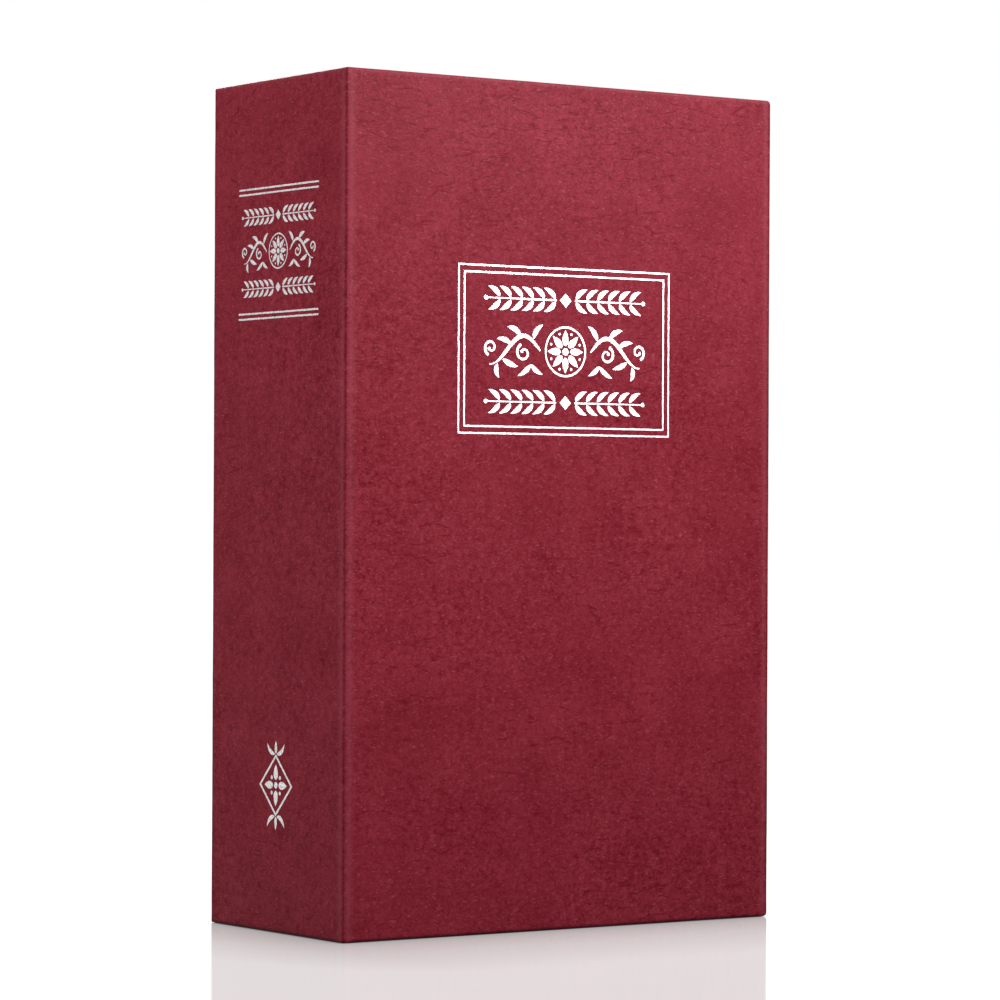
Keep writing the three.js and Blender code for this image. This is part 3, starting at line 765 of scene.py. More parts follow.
    def ridge(self, strip: Mesh) -> None:
        """Raises the ridge that the glue leaves along the joint, on its spine side."""
        run = strip.verts.layers.float["run"]
        for vert in strip.verts:
            away = (vert[run] - self.ridge_place) / self.ridge_width
            vert.co.x -= self.ridge_height * math.exp(-away * away)


@dataclass
class Lining:
    """The pale sheet inside a cover, pasted over the turn-ins, whose edges show through it."""

    frame: Frame
    node: str
    piece: str
    body: str
    inward: int
    turn_in: float = 13.5 * MM
    dip: float = 0.14 * MM
    softness: float = 0.6 * MM
    thickness: float = 0.16 * MM
    pitch: float = 1.0 * MM
    corner: float = 1.2 * MM
    wave_share: float = 0.4

    def depth_at(self, x: float, z: float) -> float:
        """Returns how far the sheet sinks into the window between the turn-ins."""
        inside = min(self.frame.fore_edge - self.turn_in - x, self.frame.height - self.turn_in - z,
                     z - self.turn_in)
        share = min(max(inside / self.softness / 2 + 0.5, 0.0), 1.0)
        return self.dip * share * share * (3 - 2 * share)

    def build(self) -> None:
        """Makes the sheet."""
        low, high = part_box(self.node)
        face = high.y if self.inward > 0 else low.y
        middle = self.frame.height / 2
        across = spread(low.x, high.x, self.pitch)
        up = spread(low.z, high.z, self.pitch)
        mesh = bmesh.new()
        bmesh.ops.create_grid(mesh, x_segments=len(across) - 1, y_segments=len(up) - 1, size=0.5)
        for vert in mesh.verts:
            x = across[round((vert.co.x + 0.5) * (len(across) - 1))]
            z = up[round((vert.co.y + 0.5) * (len(up) - 1))]
            reach = max(x - high.x + self.corner, 0.0)
            rise = max(abs(z - middle) - (high.z - low.z) / 2 + self.corner, 0.0)
            far = math.hypot(reach, rise)
            if far > self.corner:
                x -= reach * (1 - self.corner / far)
                z -= math.copysign(rise * (1 - self.corner / far), z - middle)
            wave = self.wave_share * emboss(Vector((x, face, z)))
            vert.co = (x, face - self.inward * (self.depth_at(x, z) - wave), z)
        if mesh.faces[:][0].normal.y * self.inward < 0:
            bmesh.ops.reverse_faces(mesh, faces=mesh.faces)
        mesh.normal_update()
        bmesh.ops.solidify(mesh, geom=mesh.faces, thickness=self.thickness)
        settle(self.piece, mesh, ENDPAPER, self.body, [self.node])


@dataclass
class Stamp:
    """A design hot-stamped in foil on one face of the case, drawn in real sizes about its own centre."""

    frame: Frame
    side: Side
    across: float
    up: float
    scale: float = 1.0
    lift: float = 0.035 * MM
    foil: float = 0.02 * MM
    fray: float = 0.06 * MM
    fray_size: float = 0.5 * MM
    # The foil's edges stray across and up by noise that is read at these two places. It is the same each
    # run, where noise_vector differs at each start of Blender.
    fray_shifts: Sequence[Sequence[float]] = ((3.3, 1.7, 5.4), (31.4, 17.3, 9.6))
    step: float = 0.4 * MM
    least_width: float = 0.04 * MM

    def __post_init__(self) -> None:
        """Starts with nothing drawn."""
        self.mesh = bmesh.new()

    def stroke(self, path: Sequence[Vector], width: Callable[[float], float], closed: bool = False) -> None:
        """Adds a flat stroke along a path, mitred where the path turns.

        Args:
            path: Its middle line. A closed one doesn't repeat its first point.
            width: Gives the width from the share of the path that is done, 0 to 1.
            closed: Whether the last point joins the first.
        """
        points = [Vector(point).to_2d() for point in path]
        count = len(points)
        last = count if closed else count - 1
        made = bmesh.ops.create_grid(self.mesh, x_segments=last, y_segments=1, size=0.5)["verts"]
        for vert in made:
            i = round((vert.co.x + 0.5) * last)
            hand = 1 if vert.co.y > 0 else -1
            here = points[i % count]
            before = points[(i - 1) % count] if i or closed else here
            after = points[(i + 1) % count] if i < last or closed else here
            behind = (here - before).normalized() if before != here else (after - here).normalized()
            ahead = (after - here).normalized() if after != here else behind
            middle = (ahead + behind).normalized()
            reach = hand * width(i / last) / 2 / max(middle.dot(ahead), 0.35)
            vert.co = (here.x - middle.y * reach, here.y + middle.x * reach, 0.0)
        bmesh.ops.remove_doubles(self.mesh, verts=made, dist=MERGE / 2)

    def line(self, corners: Sequence[Sequence[float]], width: float, closed: bool = False) -> None:
        """Adds a line of one width from corner to corner, in steps that let it follow the paper."""
        spots = [Vector(corner) for corner in corners]
        path = []
        for start, end in zip(spots, spots[1:] + spots[:1] if closed else spots[1:]):
            count = max(1, round((end - start).length / self.step))
            path += [start.lerp(end, i / count) for i in range(count)]
        self.stroke(path if closed else path + [spots[-1]], lambda _: width, closed)

    def ring(self, radius: float, width: float) -> None:
        """Adds a ring about the centre."""
        count = max(12, round(2 * math.pi * radius / self.step))
        self.stroke([polar(2 * math.pi * i / count, radius) for i in range(count)], lambda _: width, True)

    def dot(self, centre: Sequence[float], radius: float, sides: int = 16) -> None:
        """Adds a round dot, or a lozenge where it has four sides."""
        place = Matrix.Translation((centre[0], centre[1], 0.0))
        bmesh.ops.create_circle(self.mesh, cap_ends=True, segments=sides, radius=radius, matrix=place)

    def leaf(self, root: Sequence[float], bend: Sequence[float], tip: Sequence[float], width: float) -> None:
        """Adds a leaf from root to tip, bent towards a third point and widest in its middle."""
        root, bend, tip = Vector(root), Vector(bend), Vector(tip)
        count = max(6, round((tip - root).length / self.step * 1.5))
        shares = [i / count for i in range(count + 1)]
        path = [root * (1 - t) ** 2 + bend * 2 * t * (1 - t) + tip * t * t for t in shares]
        self.stroke(path, lambda t: max(width * math.sin(math.pi * t ** 0.8) ** 0.8, self.least_width))

    def press(self, name: str) -> None:
        """Puts the design on its face, a little proud of the paper's waves, and makes the piece."""
        if self.side is Side.FRONT:
            out, right, face = Vector((0, -1, 0)), Vector((1, 0, 0)), Vector((0, self.frame.front_face, 0))
            body = "front_cover"
        else:
            out, right, face = Vector((-1, 0, 0)), Vector((0, -1, 0)), Vector((self.frame.spine_face, 0, 0))
            body = "book_body"
        for vert in self.mesh.verts:
            near = vert.co / self.fray_size
            stray = [self.fray * noise.noise(near + Vector(shift)) for shift in self.fray_shifts]
            flat = face + right * (self.across + vert.co.x * self.scale + stray[0])
            flat.z = self.up + vert.co.y * self.scale + stray[1]
            vert.co = flat + out * (emboss(flat) + self.lift)
        bmesh.ops.recalc_face_normals(self.mesh, faces=self.mesh.faces)
        wrong = [item for item in self.mesh.faces if item.normal.dot(out) < 0]
        bmesh.ops.reverse_faces(self.mesh, faces=wrong)
        self.mesh.normal_update()
        bmesh.ops.solidify(self.mesh, geom=self.mesh.faces, thickness=self.foil)
        settle(name, self.mesh, FOIL, body)


@dataclass
class Ornament:
    """A traditional binder's panel: a rosette between two scrolling vines, with a garland above and below."""

    stamp: Stamp
    rosette: float = 5.2 * MM
    petals: int = 8
    vine: float = 0.9 * MM
    stem: float = 0.42 * MM
    garland: float = 10.9 * MM
    garland_start: float = 2.4 * MM
    half_width: float = 20.6 * MM
    vine_start: float = 6.6 * MM
    wave: float = 8.6 * MM
    wave_height: float = 3.1 * MM
    waves: float = 1.52
    vine_cells: int = 60
    branch_leaves: int = 6

    def flower(self) -> None:
        """Draws the rosette."""
        self.stamp.ring(self.rosette, self.stem)
        self.stamp.dot((0.0, 0.0), 0.8 * MM)
        for i in range(self.petals):
            turn = 2 * math.pi * i / self.petals
            way = polar(turn)
            self.stamp.leaf(way * 1.2 * MM, way * 2.6 * MM, way * 4.6 * MM, 1.55 * MM)
            self.stamp.dot(polar(turn + math.pi / self.petals) * 4.05 * MM, 0.3 * MM, 10)

    def curl(self, centre: Vector, start: float, turns: float, radius: float, hand: int) -> None:
        """Draws a curl that winds in to its centre and ends in a dot.

        Args:
            centre: Its centre, on the right-hand side.
            start: Where it starts, in degrees.
            turns: How many turns it makes, less than zero for clockwise.
            radius: Its radius at the start.
            hand: 1 on the right-hand side, and -1 where it is mirrored to the left.
        """
        count = round(abs(turns) * 30)
        width = self.vine * 0.7
        path = []
        for i in range(count + 1):
            share = i / count
            turn = math.radians(start) + 2 * math.pi * turns * share
            spot = centre + polar(turn, radius * (1 - 0.72 * share))
            path.append(Vector((spot.x * hand, spot.y)))
        self.stamp.stroke(path, lambda t: width * (1 - 0.45 * t))
        self.stamp.dot(path[-1], width * 0.62, 12)

    def vines(self) -> None:
        """Draws a wave of vine on each side of the rosette, with curls and leaves in its hollows."""
        for hand in (1, -1):
            path = []
            for i in range(self.vine_cells + 1):
                run = i / self.vine_cells * self.waves
                path.append(Vector((hand * (self.vine_start + run * self.wave),
                                    self.wave_height * math.sin(run * math.pi))))
            self.stamp.stroke(
                path, lambda t: self.vine * (0.35 + 0.65 * math.sin(math.pi * min(t * 1.15, 1)) ** 0.6))
            first = Vector((self.vine_start + 0.5 * self.wave, -0.5 * MM))
            second = Vector((self.vine_start + 1.5 * self.wave - 0.2 * MM, 0.4 * MM))
            self.curl(first, 70, -1.1, 1.9 * MM, hand)
            self.curl(second, -70, 1.1, 1.7 * MM, hand)
            # Root, bend and tip of each leaf, and its width, in millimetres.
            for root, bend, tip, width in (
                    ((8.4, 2.5), (7.9, 4.6), (5.9, 5.6), 1.15), ((11.6, 3.1), (13.1, 4.9), (15.1, 4.9), 1.2),
                    ((14.2, 1.3), (15.9, 2.6), (17.8, 2.3), 1.1),
                    ((16.3, -1.9), (14.4, -3.2), (12.4, -3.4), 1.15),
                    ((17.6, -2.9), (18.4, -4.7), (17.2, -5.9), 1.1),
                    ((8.9, -2.9), (8.0, -4.3), (6.0, -5.0), 1.05),
                    ((8.9, -2.9), (10.4, -4.7), (12.4, -5.4), 1.05)):
                spots = [Vector((hand * x, y)) * MM for x, y in (root, bend, tip)]
                self.stamp.leaf(*spots, width * MM)

    def garlands(self) -> None:
        """Draws the band above and the band below: a laurel branch to each side of a lozenge."""
        start, end = self.garland_start, self.half_width
        pitch = (end - start) / (self.branch_leaves + 0.35)
        for height in (self.garland, -self.garland):
            self.stamp.dot((0.0, height), 1.5 * MM, 4)
            for hand in (1, -1):
                branch = [Vector((hand * x, height)) for x in spread(start, end, self.stamp.step)]
                self.stamp.stroke(branch, lambda t: self.stem * (1 - 0.4 * t))
                self.stamp.dot(branch[-1], 0.5 * MM, 12)
                for i in range(self.branch_leaves):
                    root = Vector((hand * (start + (i + 0.12) * pitch), height))
                    for rise in (1, -1):
                        self.stamp.leaf(root + Vector((0.0, rise * 0.3 * MM)),
                                        root + Vector((hand * 0.7 * MM, rise * 1.9 * MM)),
                                        root + Vector((hand * 2.9 * MM, rise * 2.5 * MM)), 1.15 * MM)

    def draw(self) -> None:
        """Draws the whole panel."""
        self.flower()
        self.vines()
        self.garlands()


@dataclass
class Stamping:
    """All the silver foil: the framed panel of the front, and the spine's ruled panel and foot ornament."""

    frame: Frame
    panel_middle: float = 123.0 * MM
    panel_half_width: float = 27.5 * MM
    panel_half_height: float = 17.65 * MM
    panel_line: float = 0.37 * MM
    panel_gap: float = 1.45 * MM
    rule_half_width: float = 15.9 * MM
    rule_levels: Sequence[float] = (157.2 * MM, 156.1 * MM, 130.7 * MM, 129.6 * MM)
    rule_line: float = 0.38 * MM
    title_middle: float = 143.6 * MM
    title_scale: float = 0.7
    foot_middle: float = 31.0 * MM
    foot_half: tuple[float, float] = (6.2 * MM, 9.4 * MM)
    foot_line: float = 0.5 * MM

    def front(self) -> None:
        """Stamps the front cover."""
        middle = (self.frame.spine_face + self.frame.fore_edge) / 2
        border = Stamp(self.frame, Side.FRONT, middle, self.panel_middle)
        for inset in (0.0, self.panel_gap):
            wide, high = self.panel_half_width - inset, self.panel_half_height - inset
            border.line([(-wide, -high), (wide, -high), (wide, high), (-wide, high)], self.panel_line, True)
        border.press("foil_frame_of_front")
        panel = Stamp(self.frame, Side.FRONT, middle, self.panel_middle)
        Ornament(panel).draw()
        panel.press("foil_ornament_of_front")

    def spine(self) -> None:
        """Stamps the spine."""
        rules = Stamp(self.frame, Side.SPINE, 0.0, 0.0)
        for level in self.rule_levels:
            rules.line([(-self.rule_half_width, level), (self.rule_half_width, level)], self.rule_line)
        rules.press("foil_rules_of_spine")
        title = Stamp(self.frame, Side.SPINE, 0.0, self.title_middle, self.title_scale)
        Ornament(title).draw()
        title.press("foil_ornament_of_spine")
        foot = Stamp(self.frame, Side.SPINE, 0.0, self.foot_middle)
        self.draw_foot(foot)
        foot.press("foil_foot_of_spine")

    def draw_foot(self, foot: Stamp) -> None:
        """Draws a lozenge with a four-leaved flower in it and a sprig above and below."""
        wide, high = self.foot_half
        foot.line([(-wide, 0), (0, -wide), (wide, 0), (0, wide)], self.foot_line, True)
        foot.dot((0.0, 0.0), 0.7 * MM)
        for i in range(4):
            turn = math.pi / 2 * i
            way = polar(turn)
            foot.leaf(way * 1.1 * MM, way * 2.4 * MM, way * 4.4 * MM, 1.7 * MM)
            foot.dot(polar(turn + math.pi / 4) * 2.3 * MM, 0.42 * MM, 10)
        for level in (1, -1):
            for hand in (1, -1):
                foot.leaf((hand * 0.4 * MM, level * (wide + 0.4 * MM)),
                          (hand * 2.4 * MM, level * (wide + 0.3 * MM)),
                          (hand * 3.4 * MM, level * (wide + 2.6 * MM)), 0.95 * MM)
            foot.leaf((0.0, level * (wide + 0.5 * MM)), (0.0, level * (wide + 1.5 * MM)),
                      (0.0, level * high), 1.0 * MM)

    def build(self) -> None:
        """Stamps both faces."""
        self.front()
        self.spine()


@dataclass
class PageBlock:
    """The moulded pages: walls with lines like leaves outside, round the strongbox and the lid's recess."""

    wall: float = 5.0 * MM
    deep_wall: float = 6.75 * MM
    recess: float = 9.85 * MM
    spine_wall: float = 5.3 * MM
    leaf: float = 0.55 * MM
    groove: float = 0.26 * MM
    edge: float = 0.3 * MM
    ripple: float = 0.07 * MM
    ripple_size: float = 15.0
    pitch: float = 4.0 * MM
    seed: int = 7

    def section(self, front: float, back: float) -> Pairs:
        """Draws the section of a wall.

        Args:
            front: y of the block's front.
            back: y of its back.

        Returns:
            Its corners, as (distance inwards, y), from the leaves' end round to their start.
        """
        dice = random.Random(self.seed)
        corners = [(self.edge, back), (self.deep_wall, back), (self.deep_wall, front + self.recess),
                   (self.wall, front + self.recess), (self.wall, front + self.edge),
                   (self.wall - self.edge, front), (self.edge, front)]
        y = front + self.edge
        while y < back - 1.5 * self.leaf:
            width = self.leaf * dice.uniform(0.8, 1.2)
            top = dice.uniform(0.0, 0.05) * MM
            bottom = self.groove * dice.uniform(0.5, 1.0)
            corners += [(top + 0.05 * MM, y + 0.1 * width), (top, y + 0.4 * width),
                        (top + 0.04 * MM, y + 0.7 * width), (bottom, y + 0.9 * width)]
            y += width
        return corners

    def stations(self, low: Vector, high: Vector) -> list[tuple[Vector, Vector]]:
        """Returns (outer point, way inwards) along head, fore edge and tail, both in x and z."""
        keep = self.deep_wall + self.pitch / 4
        across = spread(low.x, high.x - keep, self.pitch)
        head = [((x, high.z), (0, -1)) for x in across] + [((high.x, high.z), (-1, -1))]
        fore = [((high.x, z), (-1, 0)) for z in spread(high.z - keep, low.z + keep, self.pitch)]
        tail = [((high.x, low.z), (-1, 1))] + [((x, low.z), (0, 1)) for x in reversed(across)]
        return [(Vector(outer), Vector(way)) for outer, way in head + fore + tail]

    def build(self) -> None:
        """Sweeps the section round the three open sides and adds the wall at the spine."""
        low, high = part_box("page_frame")
        corners = self.section(low.y, high.y)
        stations = self.stations(low, high)
        around, along = len(corners), len(stations) - 1
        mesh = bmesh.new()
        bmesh.ops.create_grid(mesh, x_segments=around, y_segments=along, size=0.5)
        for vert in mesh.verts:
            inward, y = corners[round((vert.co.x + 0.5) * around) % around]
            outer, way = stations[round((vert.co.y + 0.5) * along)]
            if inward < self.edge:
                spot = Vector((outer.x / self.ripple_size, outer.y / self.ripple_size, y)) / MM
                inward += self.ripple * (0.5 + 0.5 * noise.noise(spot))
            spot = outer + way * inward
            vert.co = (spot.x, y, spot.y)
        bmesh.ops.remove_doubles(mesh, verts=mesh.verts, dist=MERGE / 2)
        bmesh.ops.holes_fill(mesh, edges=[edge for edge in mesh.edges if edge.is_boundary], sides=0)
        size = Vector((self.spine_wall, high.y - low.y - self.recess, high.z - low.z - 2 * self.deep_wall))
        centre = Vector((low.x + self.spine_wall / 2, (low.y + self.recess + high.y) / 2,
                         (low.z + high.z) / 2))
        bmesh.ops.create_cube(mesh, size=1.0, matrix=Matrix.LocRotScale(centre, None, size))
        bmesh.ops.recalc_face_normals(mesh, faces=mesh.faces)
        settle("moulded_page_block", mesh, PAGES, "book_body", ["page_frame"], 50.0)


@dataclass
class Hardware:
    """Hard pieces that keep their CAD shape and get the small rounding that pressed and turned metal has."""

    frame: Frame
    body: str
    finish: Finish
    slot: str
    nodes: Sequence[str]
    rounding: float
    segments: int = 2
    least_angle: float = 34.0

    def build(self) -> None:
        """Makes a rounded piece for each node. Edges that turn less than the least angle stay."""
        for node in self.nodes:
            mesh = self.frame.copy_of(node)
            sharp = [edge for edge in mesh.edges
                     if edge.is_manifold and edge.calc_face_angle(0.0) > math.radians(self.least_angle)]
            bmesh.ops.bevel(mesh, geom=sharp, offset=self.rounding, offset_type="OFFSET", profile=0.5,
                            segments=self.segments, affect="EDGES", material=-1, clamp_overlap=True)
            piece = settle(f"{node}_rounded", mesh, self.finish, self.body, [node])
            piece.modifiers.new("even shading", "WEIGHTED_NORMAL").keep_sharp = True


@dataclass
class Lock:
    """The cam lock: housing with a cut thread, plug, and what turns with it."""

    frame: Frame
    barrel: float = 7.9 * MM
    across_flats: float = 13.8 * MM
    thread: float = 0.11 * MM
    thread_pitch: float = 1.0 * MM
    thread_start: float = 2.6
    thread_turns: int = 11
    thread_cells: int = 14
    thread_foot: float = 0.05 * MM
    spring_wire: float = 0.1 * MM
    spring_turns: int = 6
    rounding: float = 0.15 * MM
    wafer_rounding: float = 0.08 * MM
    wafers: int = 5

    def centre(self) -> Vector:
        """Returns where the lock's axis meets the lid's face."""
        low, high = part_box("lock_housing")
        return Vector(((low.x + high.x) / 2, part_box("lid_panel")[0].y, (low.z + high.z) / 2))

    def threads(self) -> None:
        """Makes the thread on the two round sides of the barrel."""
        centre = self.centre()
        mesh = bmesh.new()
        half = math.asin(self.across_flats / 2 / self.barrel) - math.radians(1)
        lead = self.thread_pitch * half / math.pi / self.thread_cells
        root = 0.38 * self.thread_pitch
        for side in (0, 1):
            start = math.pi * side - half
            way = Vector((math.cos(start), 0.0, math.sin(start)))
            foot = centre + way * (self.barrel - self.thread_foot)
            crest = centre + way * (self.barrel + self.thread)
            for turn in range(self.thread_turns):
                y = centre.y + (self.thread_start + turn + side / 2) * self.thread_pitch
                corners = [mesh.verts.new(spot) for spot in (
                    (foot.x, y - root, foot.z), (crest.x, y, crest.z), (foot.x, y + root, foot.z))]
                face = mesh.faces.new(corners)
                bmesh.ops.spin(mesh, geom=[face] + face.edges[:] + corners, cent=centre, axis=(0, -1, 0),
                               angle=2 * half, steps=self.thread_cells, dvec=(0, lead, 0), use_merge=False)
        bmesh.ops.recalc_face_normals(mesh, faces=mesh.faces)
        settle("lock_barrel_thread", mesh, NICKEL, "safe_lid", smooth_angle=70.0)

    def springs(self) -> None:
        """Winds the wafer springs."""
        for number in range(1, self.wafers + 1):
            node = f"wafer_spring_{number}"
            low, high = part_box(node)
            middle = (low + high) / 2
            radius = (high.x - low.x) / 2 - self.spring_wire
            mesh = bmesh.new()
            around = Matrix.Translation((middle.x + radius, middle.y, low.z + self.spring_wire))
            ring = bmesh.ops.create_circle(mesh, cap_ends=True, segments=6, radius=self.spring_wire,
                                           matrix=around @ Matrix.Rotation(math.pi / 2, 4, "X"))["verts"]
            face = ring[0].link_faces[0]
            steps = 10 * self.spring_turns
            rise = (high.z - low.z - 2 * self.spring_wire) / steps
            bmesh.ops.spin(mesh, geom=[face] + face.edges[:] + ring, cent=middle, axis=(0, 0, 1), steps=steps,
                           angle=2 * math.pi * self.spring_turns, dvec=(0, 0, rise), use_merge=False)
            bmesh.ops.recalc_face_normals(mesh, faces=mesh.faces)
            settle(f"wound_{node}", mesh, ZINC, "lock_plug_and_cam", [node], 60.0)

    def hard(self, body: str, finish: Finish, slot: str, *nodes: str) -> None:
        """Makes hard pieces of the lock. See Hardware."""
        Hardware(self.frame, body, finish, slot, nodes, self.rounding).build()

    def build(self) -> None:
        """Makes every piece of the lock."""
        self.hard("safe_lid", NICKEL, "lock_chrome", "lock_housing")
        self.hard("safe_lid", ZINC, "zinc_steel", "lock_washer", "lock_nut")
        self.threads()
        self.hard("lock_plug_and_cam", NICKEL, "lock_chrome", "lock_plug")
        self.hard("lock_plug_and_cam", ZINC, "zinc_steel",
                  "stop_washer", "lock_cam", "cam_washer", "cam_screw")
        self.springs()
        for number in range(1, self.wafers + 1):
            Hardware(self.frame, f"wafer_{number}_body", BRASS, "wafer_brass", [f"wafer_{number}"],
                     self.wafer_rounding).build()


@dataclass(frozen=True)
class Softbox:
    """A square softbox with a grid on it, in metres, watts and degrees."""

    name: str
    where: Sequence[float]
    aim: Sequence[float]
    size: float
    power: float
    spread: float

    def hang(self) -> None:
        """Puts it in the scene, out of the camera's sight."""
        lamp = bpy.data.lights.new(self.name, "AREA")
        lamp.shape = "SQUARE"
        lamp.size = self.size
        lamp.energy = self.power
        lamp.spread = math.radians(self.spread)
        holder = bpy.data.objects.new(self.name, lamp)
        holder.location = self.where
        holder.rotation_euler = (Vector(self.aim) - Vector(self.where)).to_track_quat("-Z", "Y").to_euler()
        holder.visible_camera = False
        bpy.context.scene.collection.objects.link(holder)


SOFTBOXES = (
    Softbox("softbox beside the front", (0.34, -0.52, 0.36), (-0.035, -0.02, 0.225), 0.22, 0.82, 64),
    Softbox("softbox beside the spine", (-0.47, 0.07, 0.35), (-0.05, 0.0, 0.17), 0.3, 0.47, 90),
    Softbox("softbox behind the back", (0.12, 0.5, 0.36), (0.0, 0.02, 0.17), 0.25, 0.62, 90),
    Softbox("softbox beyond the fore edge", (0.5, 0.13, 0.4), (0.03, 0.0, 0.13), 0.25, 0.5, 90))


@dataclass
class Studio:
    """The white table and the softboxes of a plain product photograph, and its camera."""

    table: float = 16.0
    table_drop: float = 0.06 * MM
    ambient: float = 0.1
    table_glow: float = 1.15
    unseen_tone: float = 0.2
    faint_tone: float = 0.1
    gloss_near: float = 0.62
    gloss_far: float = 0.43
    gloss_reach: float = 62.0 * MM
    # Distance counts more along X than along Y, and height doesn't count.
    gloss_shape: Sequence[float] = (1.6, 1.0, 0.0)
    gloss_roughness: float = 0.075
    contact: float = 1.3 * MM
    shadow_reach: float = 24.0 * MM
    shadow: float = 0.84
    shadow_samples: int = 8
    sensor: float = 36.0
    lens: float = 146.37
    shift_up: float = 0.0264
    camera: Sequence[float] = (-505.12 * MM, -730.24 * MM, 85.75 * MM)
    heading: float = -34.76
    roll: float = 0.27

    def seen(self, tree: Tree) -> Socket:
        """Returns 1 for the rays that show the surroundings, straight, mirrored or through glass."""
        rays = add_node(tree, "LightPath").node.outputs
        both = add_node(tree, "Math", (rays["Is Camera Ray"], rays["Is Glossy Ray"]), operation="MAXIMUM")
        return add_node(tree, "Math", (both, rays["Is Transmission Ray"]), operation="MAXIMUM")

    def backdrop(self) -> None:
        """Makes the world: white where it is seen, and a soft even light elsewhere."""
        world = bpy.data.worlds.new("white studio")
        world.use_nodes = True
        tree = world.node_tree
        tree.nodes.clear()
        light = add_node(tree, "Background", {"Color": WHITE, "Strength": self.ambient})
        white = add_node(tree, "Background", {"Color": WHITE, "Strength": 1.0})
        add_node(tree, "OutputWorld", (add_node(tree, "MixShader", (self.seen(tree), light, white)),))
        bpy.context.scene.world = world

    def gloss(self, tree: Tree) -> Socket:
        """Returns the table's gloss: most beside the book and at a low angle, so its mirror image fades."""
        low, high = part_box("cover_paper_spine")[0].copy(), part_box("back_board")[1].copy()
        low.z = high.z = 0.0
        away = add_node(tree, "TexCoord", out="Object")
        for operation, *other in (("SUBTRACT", (low + high) / 2), ("ABSOLUTE",),
                                  ("SUBTRACT", (high - low) / 2), ("MAXIMUM", (0, 0, 0)),
                                  ("MULTIPLY", self.gloss_shape)):
            away = add_node(tree, "VectorMath", (away, *other), operation=operation)
        away = add_node(tree, "VectorMath", (away,), "Value", operation="LENGTH")
        share = add_node(tree, "MapRange", (away, 0.0, self.gloss_reach, self.gloss_near, self.gloss_far))
        slant = add_node(tree, "MapRange", (add_node(tree, "LayerWeight", out="Facing"), 0.3, 0.86, 0.2, 1.0))
        return add_node(tree, "Math", (share, slant), operation="MULTIPLY")

    def shaded(self, tree: Tree, reach: float) -> Socket:
        """Returns 1 where the table is open within a reach, and less where the book is near."""
        return add_node(tree, "AmbientOcclusion", {"Distance": reach}, "AO", samples=self.shadow_samples)

    def laminate(self) -> bpy.types.Material:
        """Returns the table's white laminate: a little glossy, and it keeps the book's shadow."""
        made = bpy.data.materials.new("white laminate table")
        made.use_nodes = True
        tree = made.node_tree
        tree.nodes.clear()
        matt, faint = (add_node(tree, "BsdfDiffuse", {"Color": (tone, tone, tone, 1)})
                       for tone in (self.unseen_tone, self.faint_tone))
        close = self.shaded(tree, self.contact)
        wide = add_node(tree, "MapRange", (self.shaded(tree, self.shadow_reach), 0.5, 1.0, self.shadow, 1.0))
        lit = add_node(tree, "Math", (close, wide), operation="MULTIPLY")
        glow = add_node(tree, "Math", (lit, self.table_glow), operation="MULTIPLY")
        white = add_node(tree, "Emission", {"Color": WHITE, "Strength": glow})
        bright = add_node(tree, "AddShader", (faint, white))
        gloss = add_node(tree, "BsdfGlossy", {"Color": WHITE, "Roughness": self.gloss_roughness})
        shown = add_node(tree, "MixShader", (self.gloss(tree), bright, gloss))
        add_node(tree, "OutputMaterial", (add_node(tree, "MixShader", (self.seen(tree), matt, shown)),))
        return made

    def floor(self) -> None:
        """Makes the table."""
        mesh = bmesh.new()
        bmesh.ops.create_grid(mesh, x_segments=4, y_segments=4, size=self.table / 2)
        bmesh.ops.translate(mesh, verts=mesh.verts, vec=(0, 0, -self.table_drop))
        data = bpy.data.meshes.new("table")
        mesh.to_mesh(data)
        mesh.free()
        data.materials.append(self.laminate())
        table = bpy.data.objects.new("table", data)
        bpy.context.scene.collection.objects.link(table)

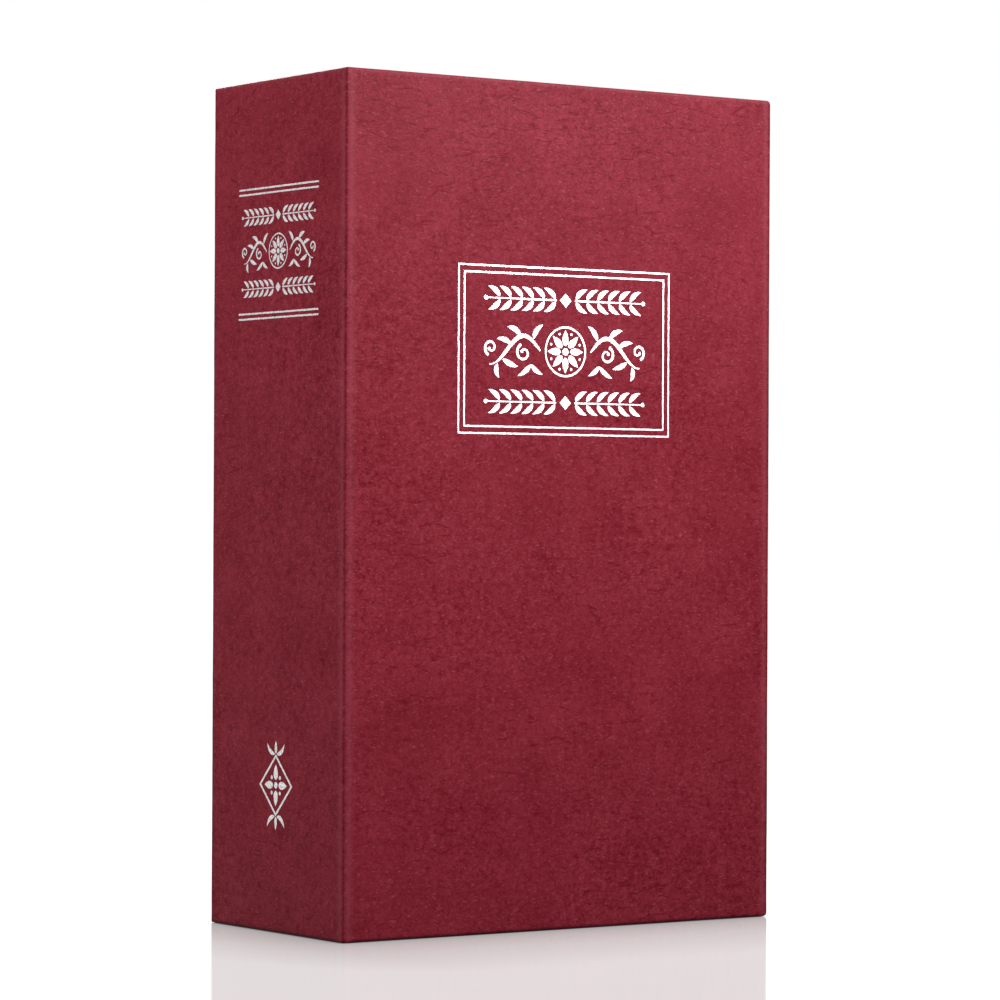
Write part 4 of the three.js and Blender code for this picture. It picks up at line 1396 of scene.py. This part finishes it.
    def aim_camera(self) -> None:
        """Sets the camera up where the photograph was taken from."""
        lens = bpy.data.cameras.new("camera")
        lens.sensor_width = self.sensor
        lens.lens = self.lens
        lens.shift_y = self.shift_up
        lens.clip_start = 0.01
        camera = bpy.data.objects.new("camera", lens)
        turn, tilt = math.radians(self.heading), math.radians(self.roll)
        forward = Vector((-math.sin(turn), math.cos(turn), 0))
        right = Vector((math.cos(turn), math.sin(turn), 0))
        up = Vector((0, 0, 1))
        across = right * math.cos(tilt) + up * math.sin(tilt)
        above = up * math.cos(tilt) - right * math.sin(tilt)
        turned = Matrix((across, above, -forward)).transposed().to_4x4()
        camera.matrix_world = Matrix.Translation(self.camera) @ turned
        bpy.context.scene.collection.objects.link(camera)
        bpy.context.scene.camera = camera

    def build(self) -> None:
        """Sets up the table, the light and the camera."""
        self.backdrop()
        self.floor()
        for softbox in SOFTBOXES:
            softbox.hang()
        self.aim_camera()
        bpy.context.scene.view_settings.view_transform = "Standard"


def main() -> None:
    """Builds the book's looks in order."""
    logging.basicConfig(level=logging.INFO, format="%(name)s %(message)s")
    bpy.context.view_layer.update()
    shape = Frame(frame)
    Studio().build()
    CasePaper(shape, Outline(shape)).build()
    Stamping(shape).build()
    Lining(shape, "front_endpaper", "front_lining", "front_cover", 1).build()
    Lining(shape, "back_endpaper", "back_lining", "book_body", -1).build()
    for node in ("front_board", "spine_board", "back_board"):
        shape.dress(node, GREY_BOARD)
    PageBlock().build()
    steel = ["lock_keeper", "hinge_leaf_body", "hinge_pin"] + [f"box_screw_{i}" for i in range(1, 7)]
    for body, finish, slot, nodes, rounding in (
            ("book_body", ENAMEL, "box_enamel", ["strongbox_body"], 0.25 * MM),
            ("safe_lid", ENAMEL, "box_enamel", ["lid_panel"], 0.3 * MM),
            ("book_body", ZINC, "zinc_steel", steel, 0.12 * MM),
            ("safe_lid", ZINC, "zinc_steel", ["hinge_leaf_lid"], 0.12 * MM)):
        Hardware(shape, body, finish, slot, nodes, rounding).build()
    Lock(shape).build()


if __name__ == "__main__":
    main()
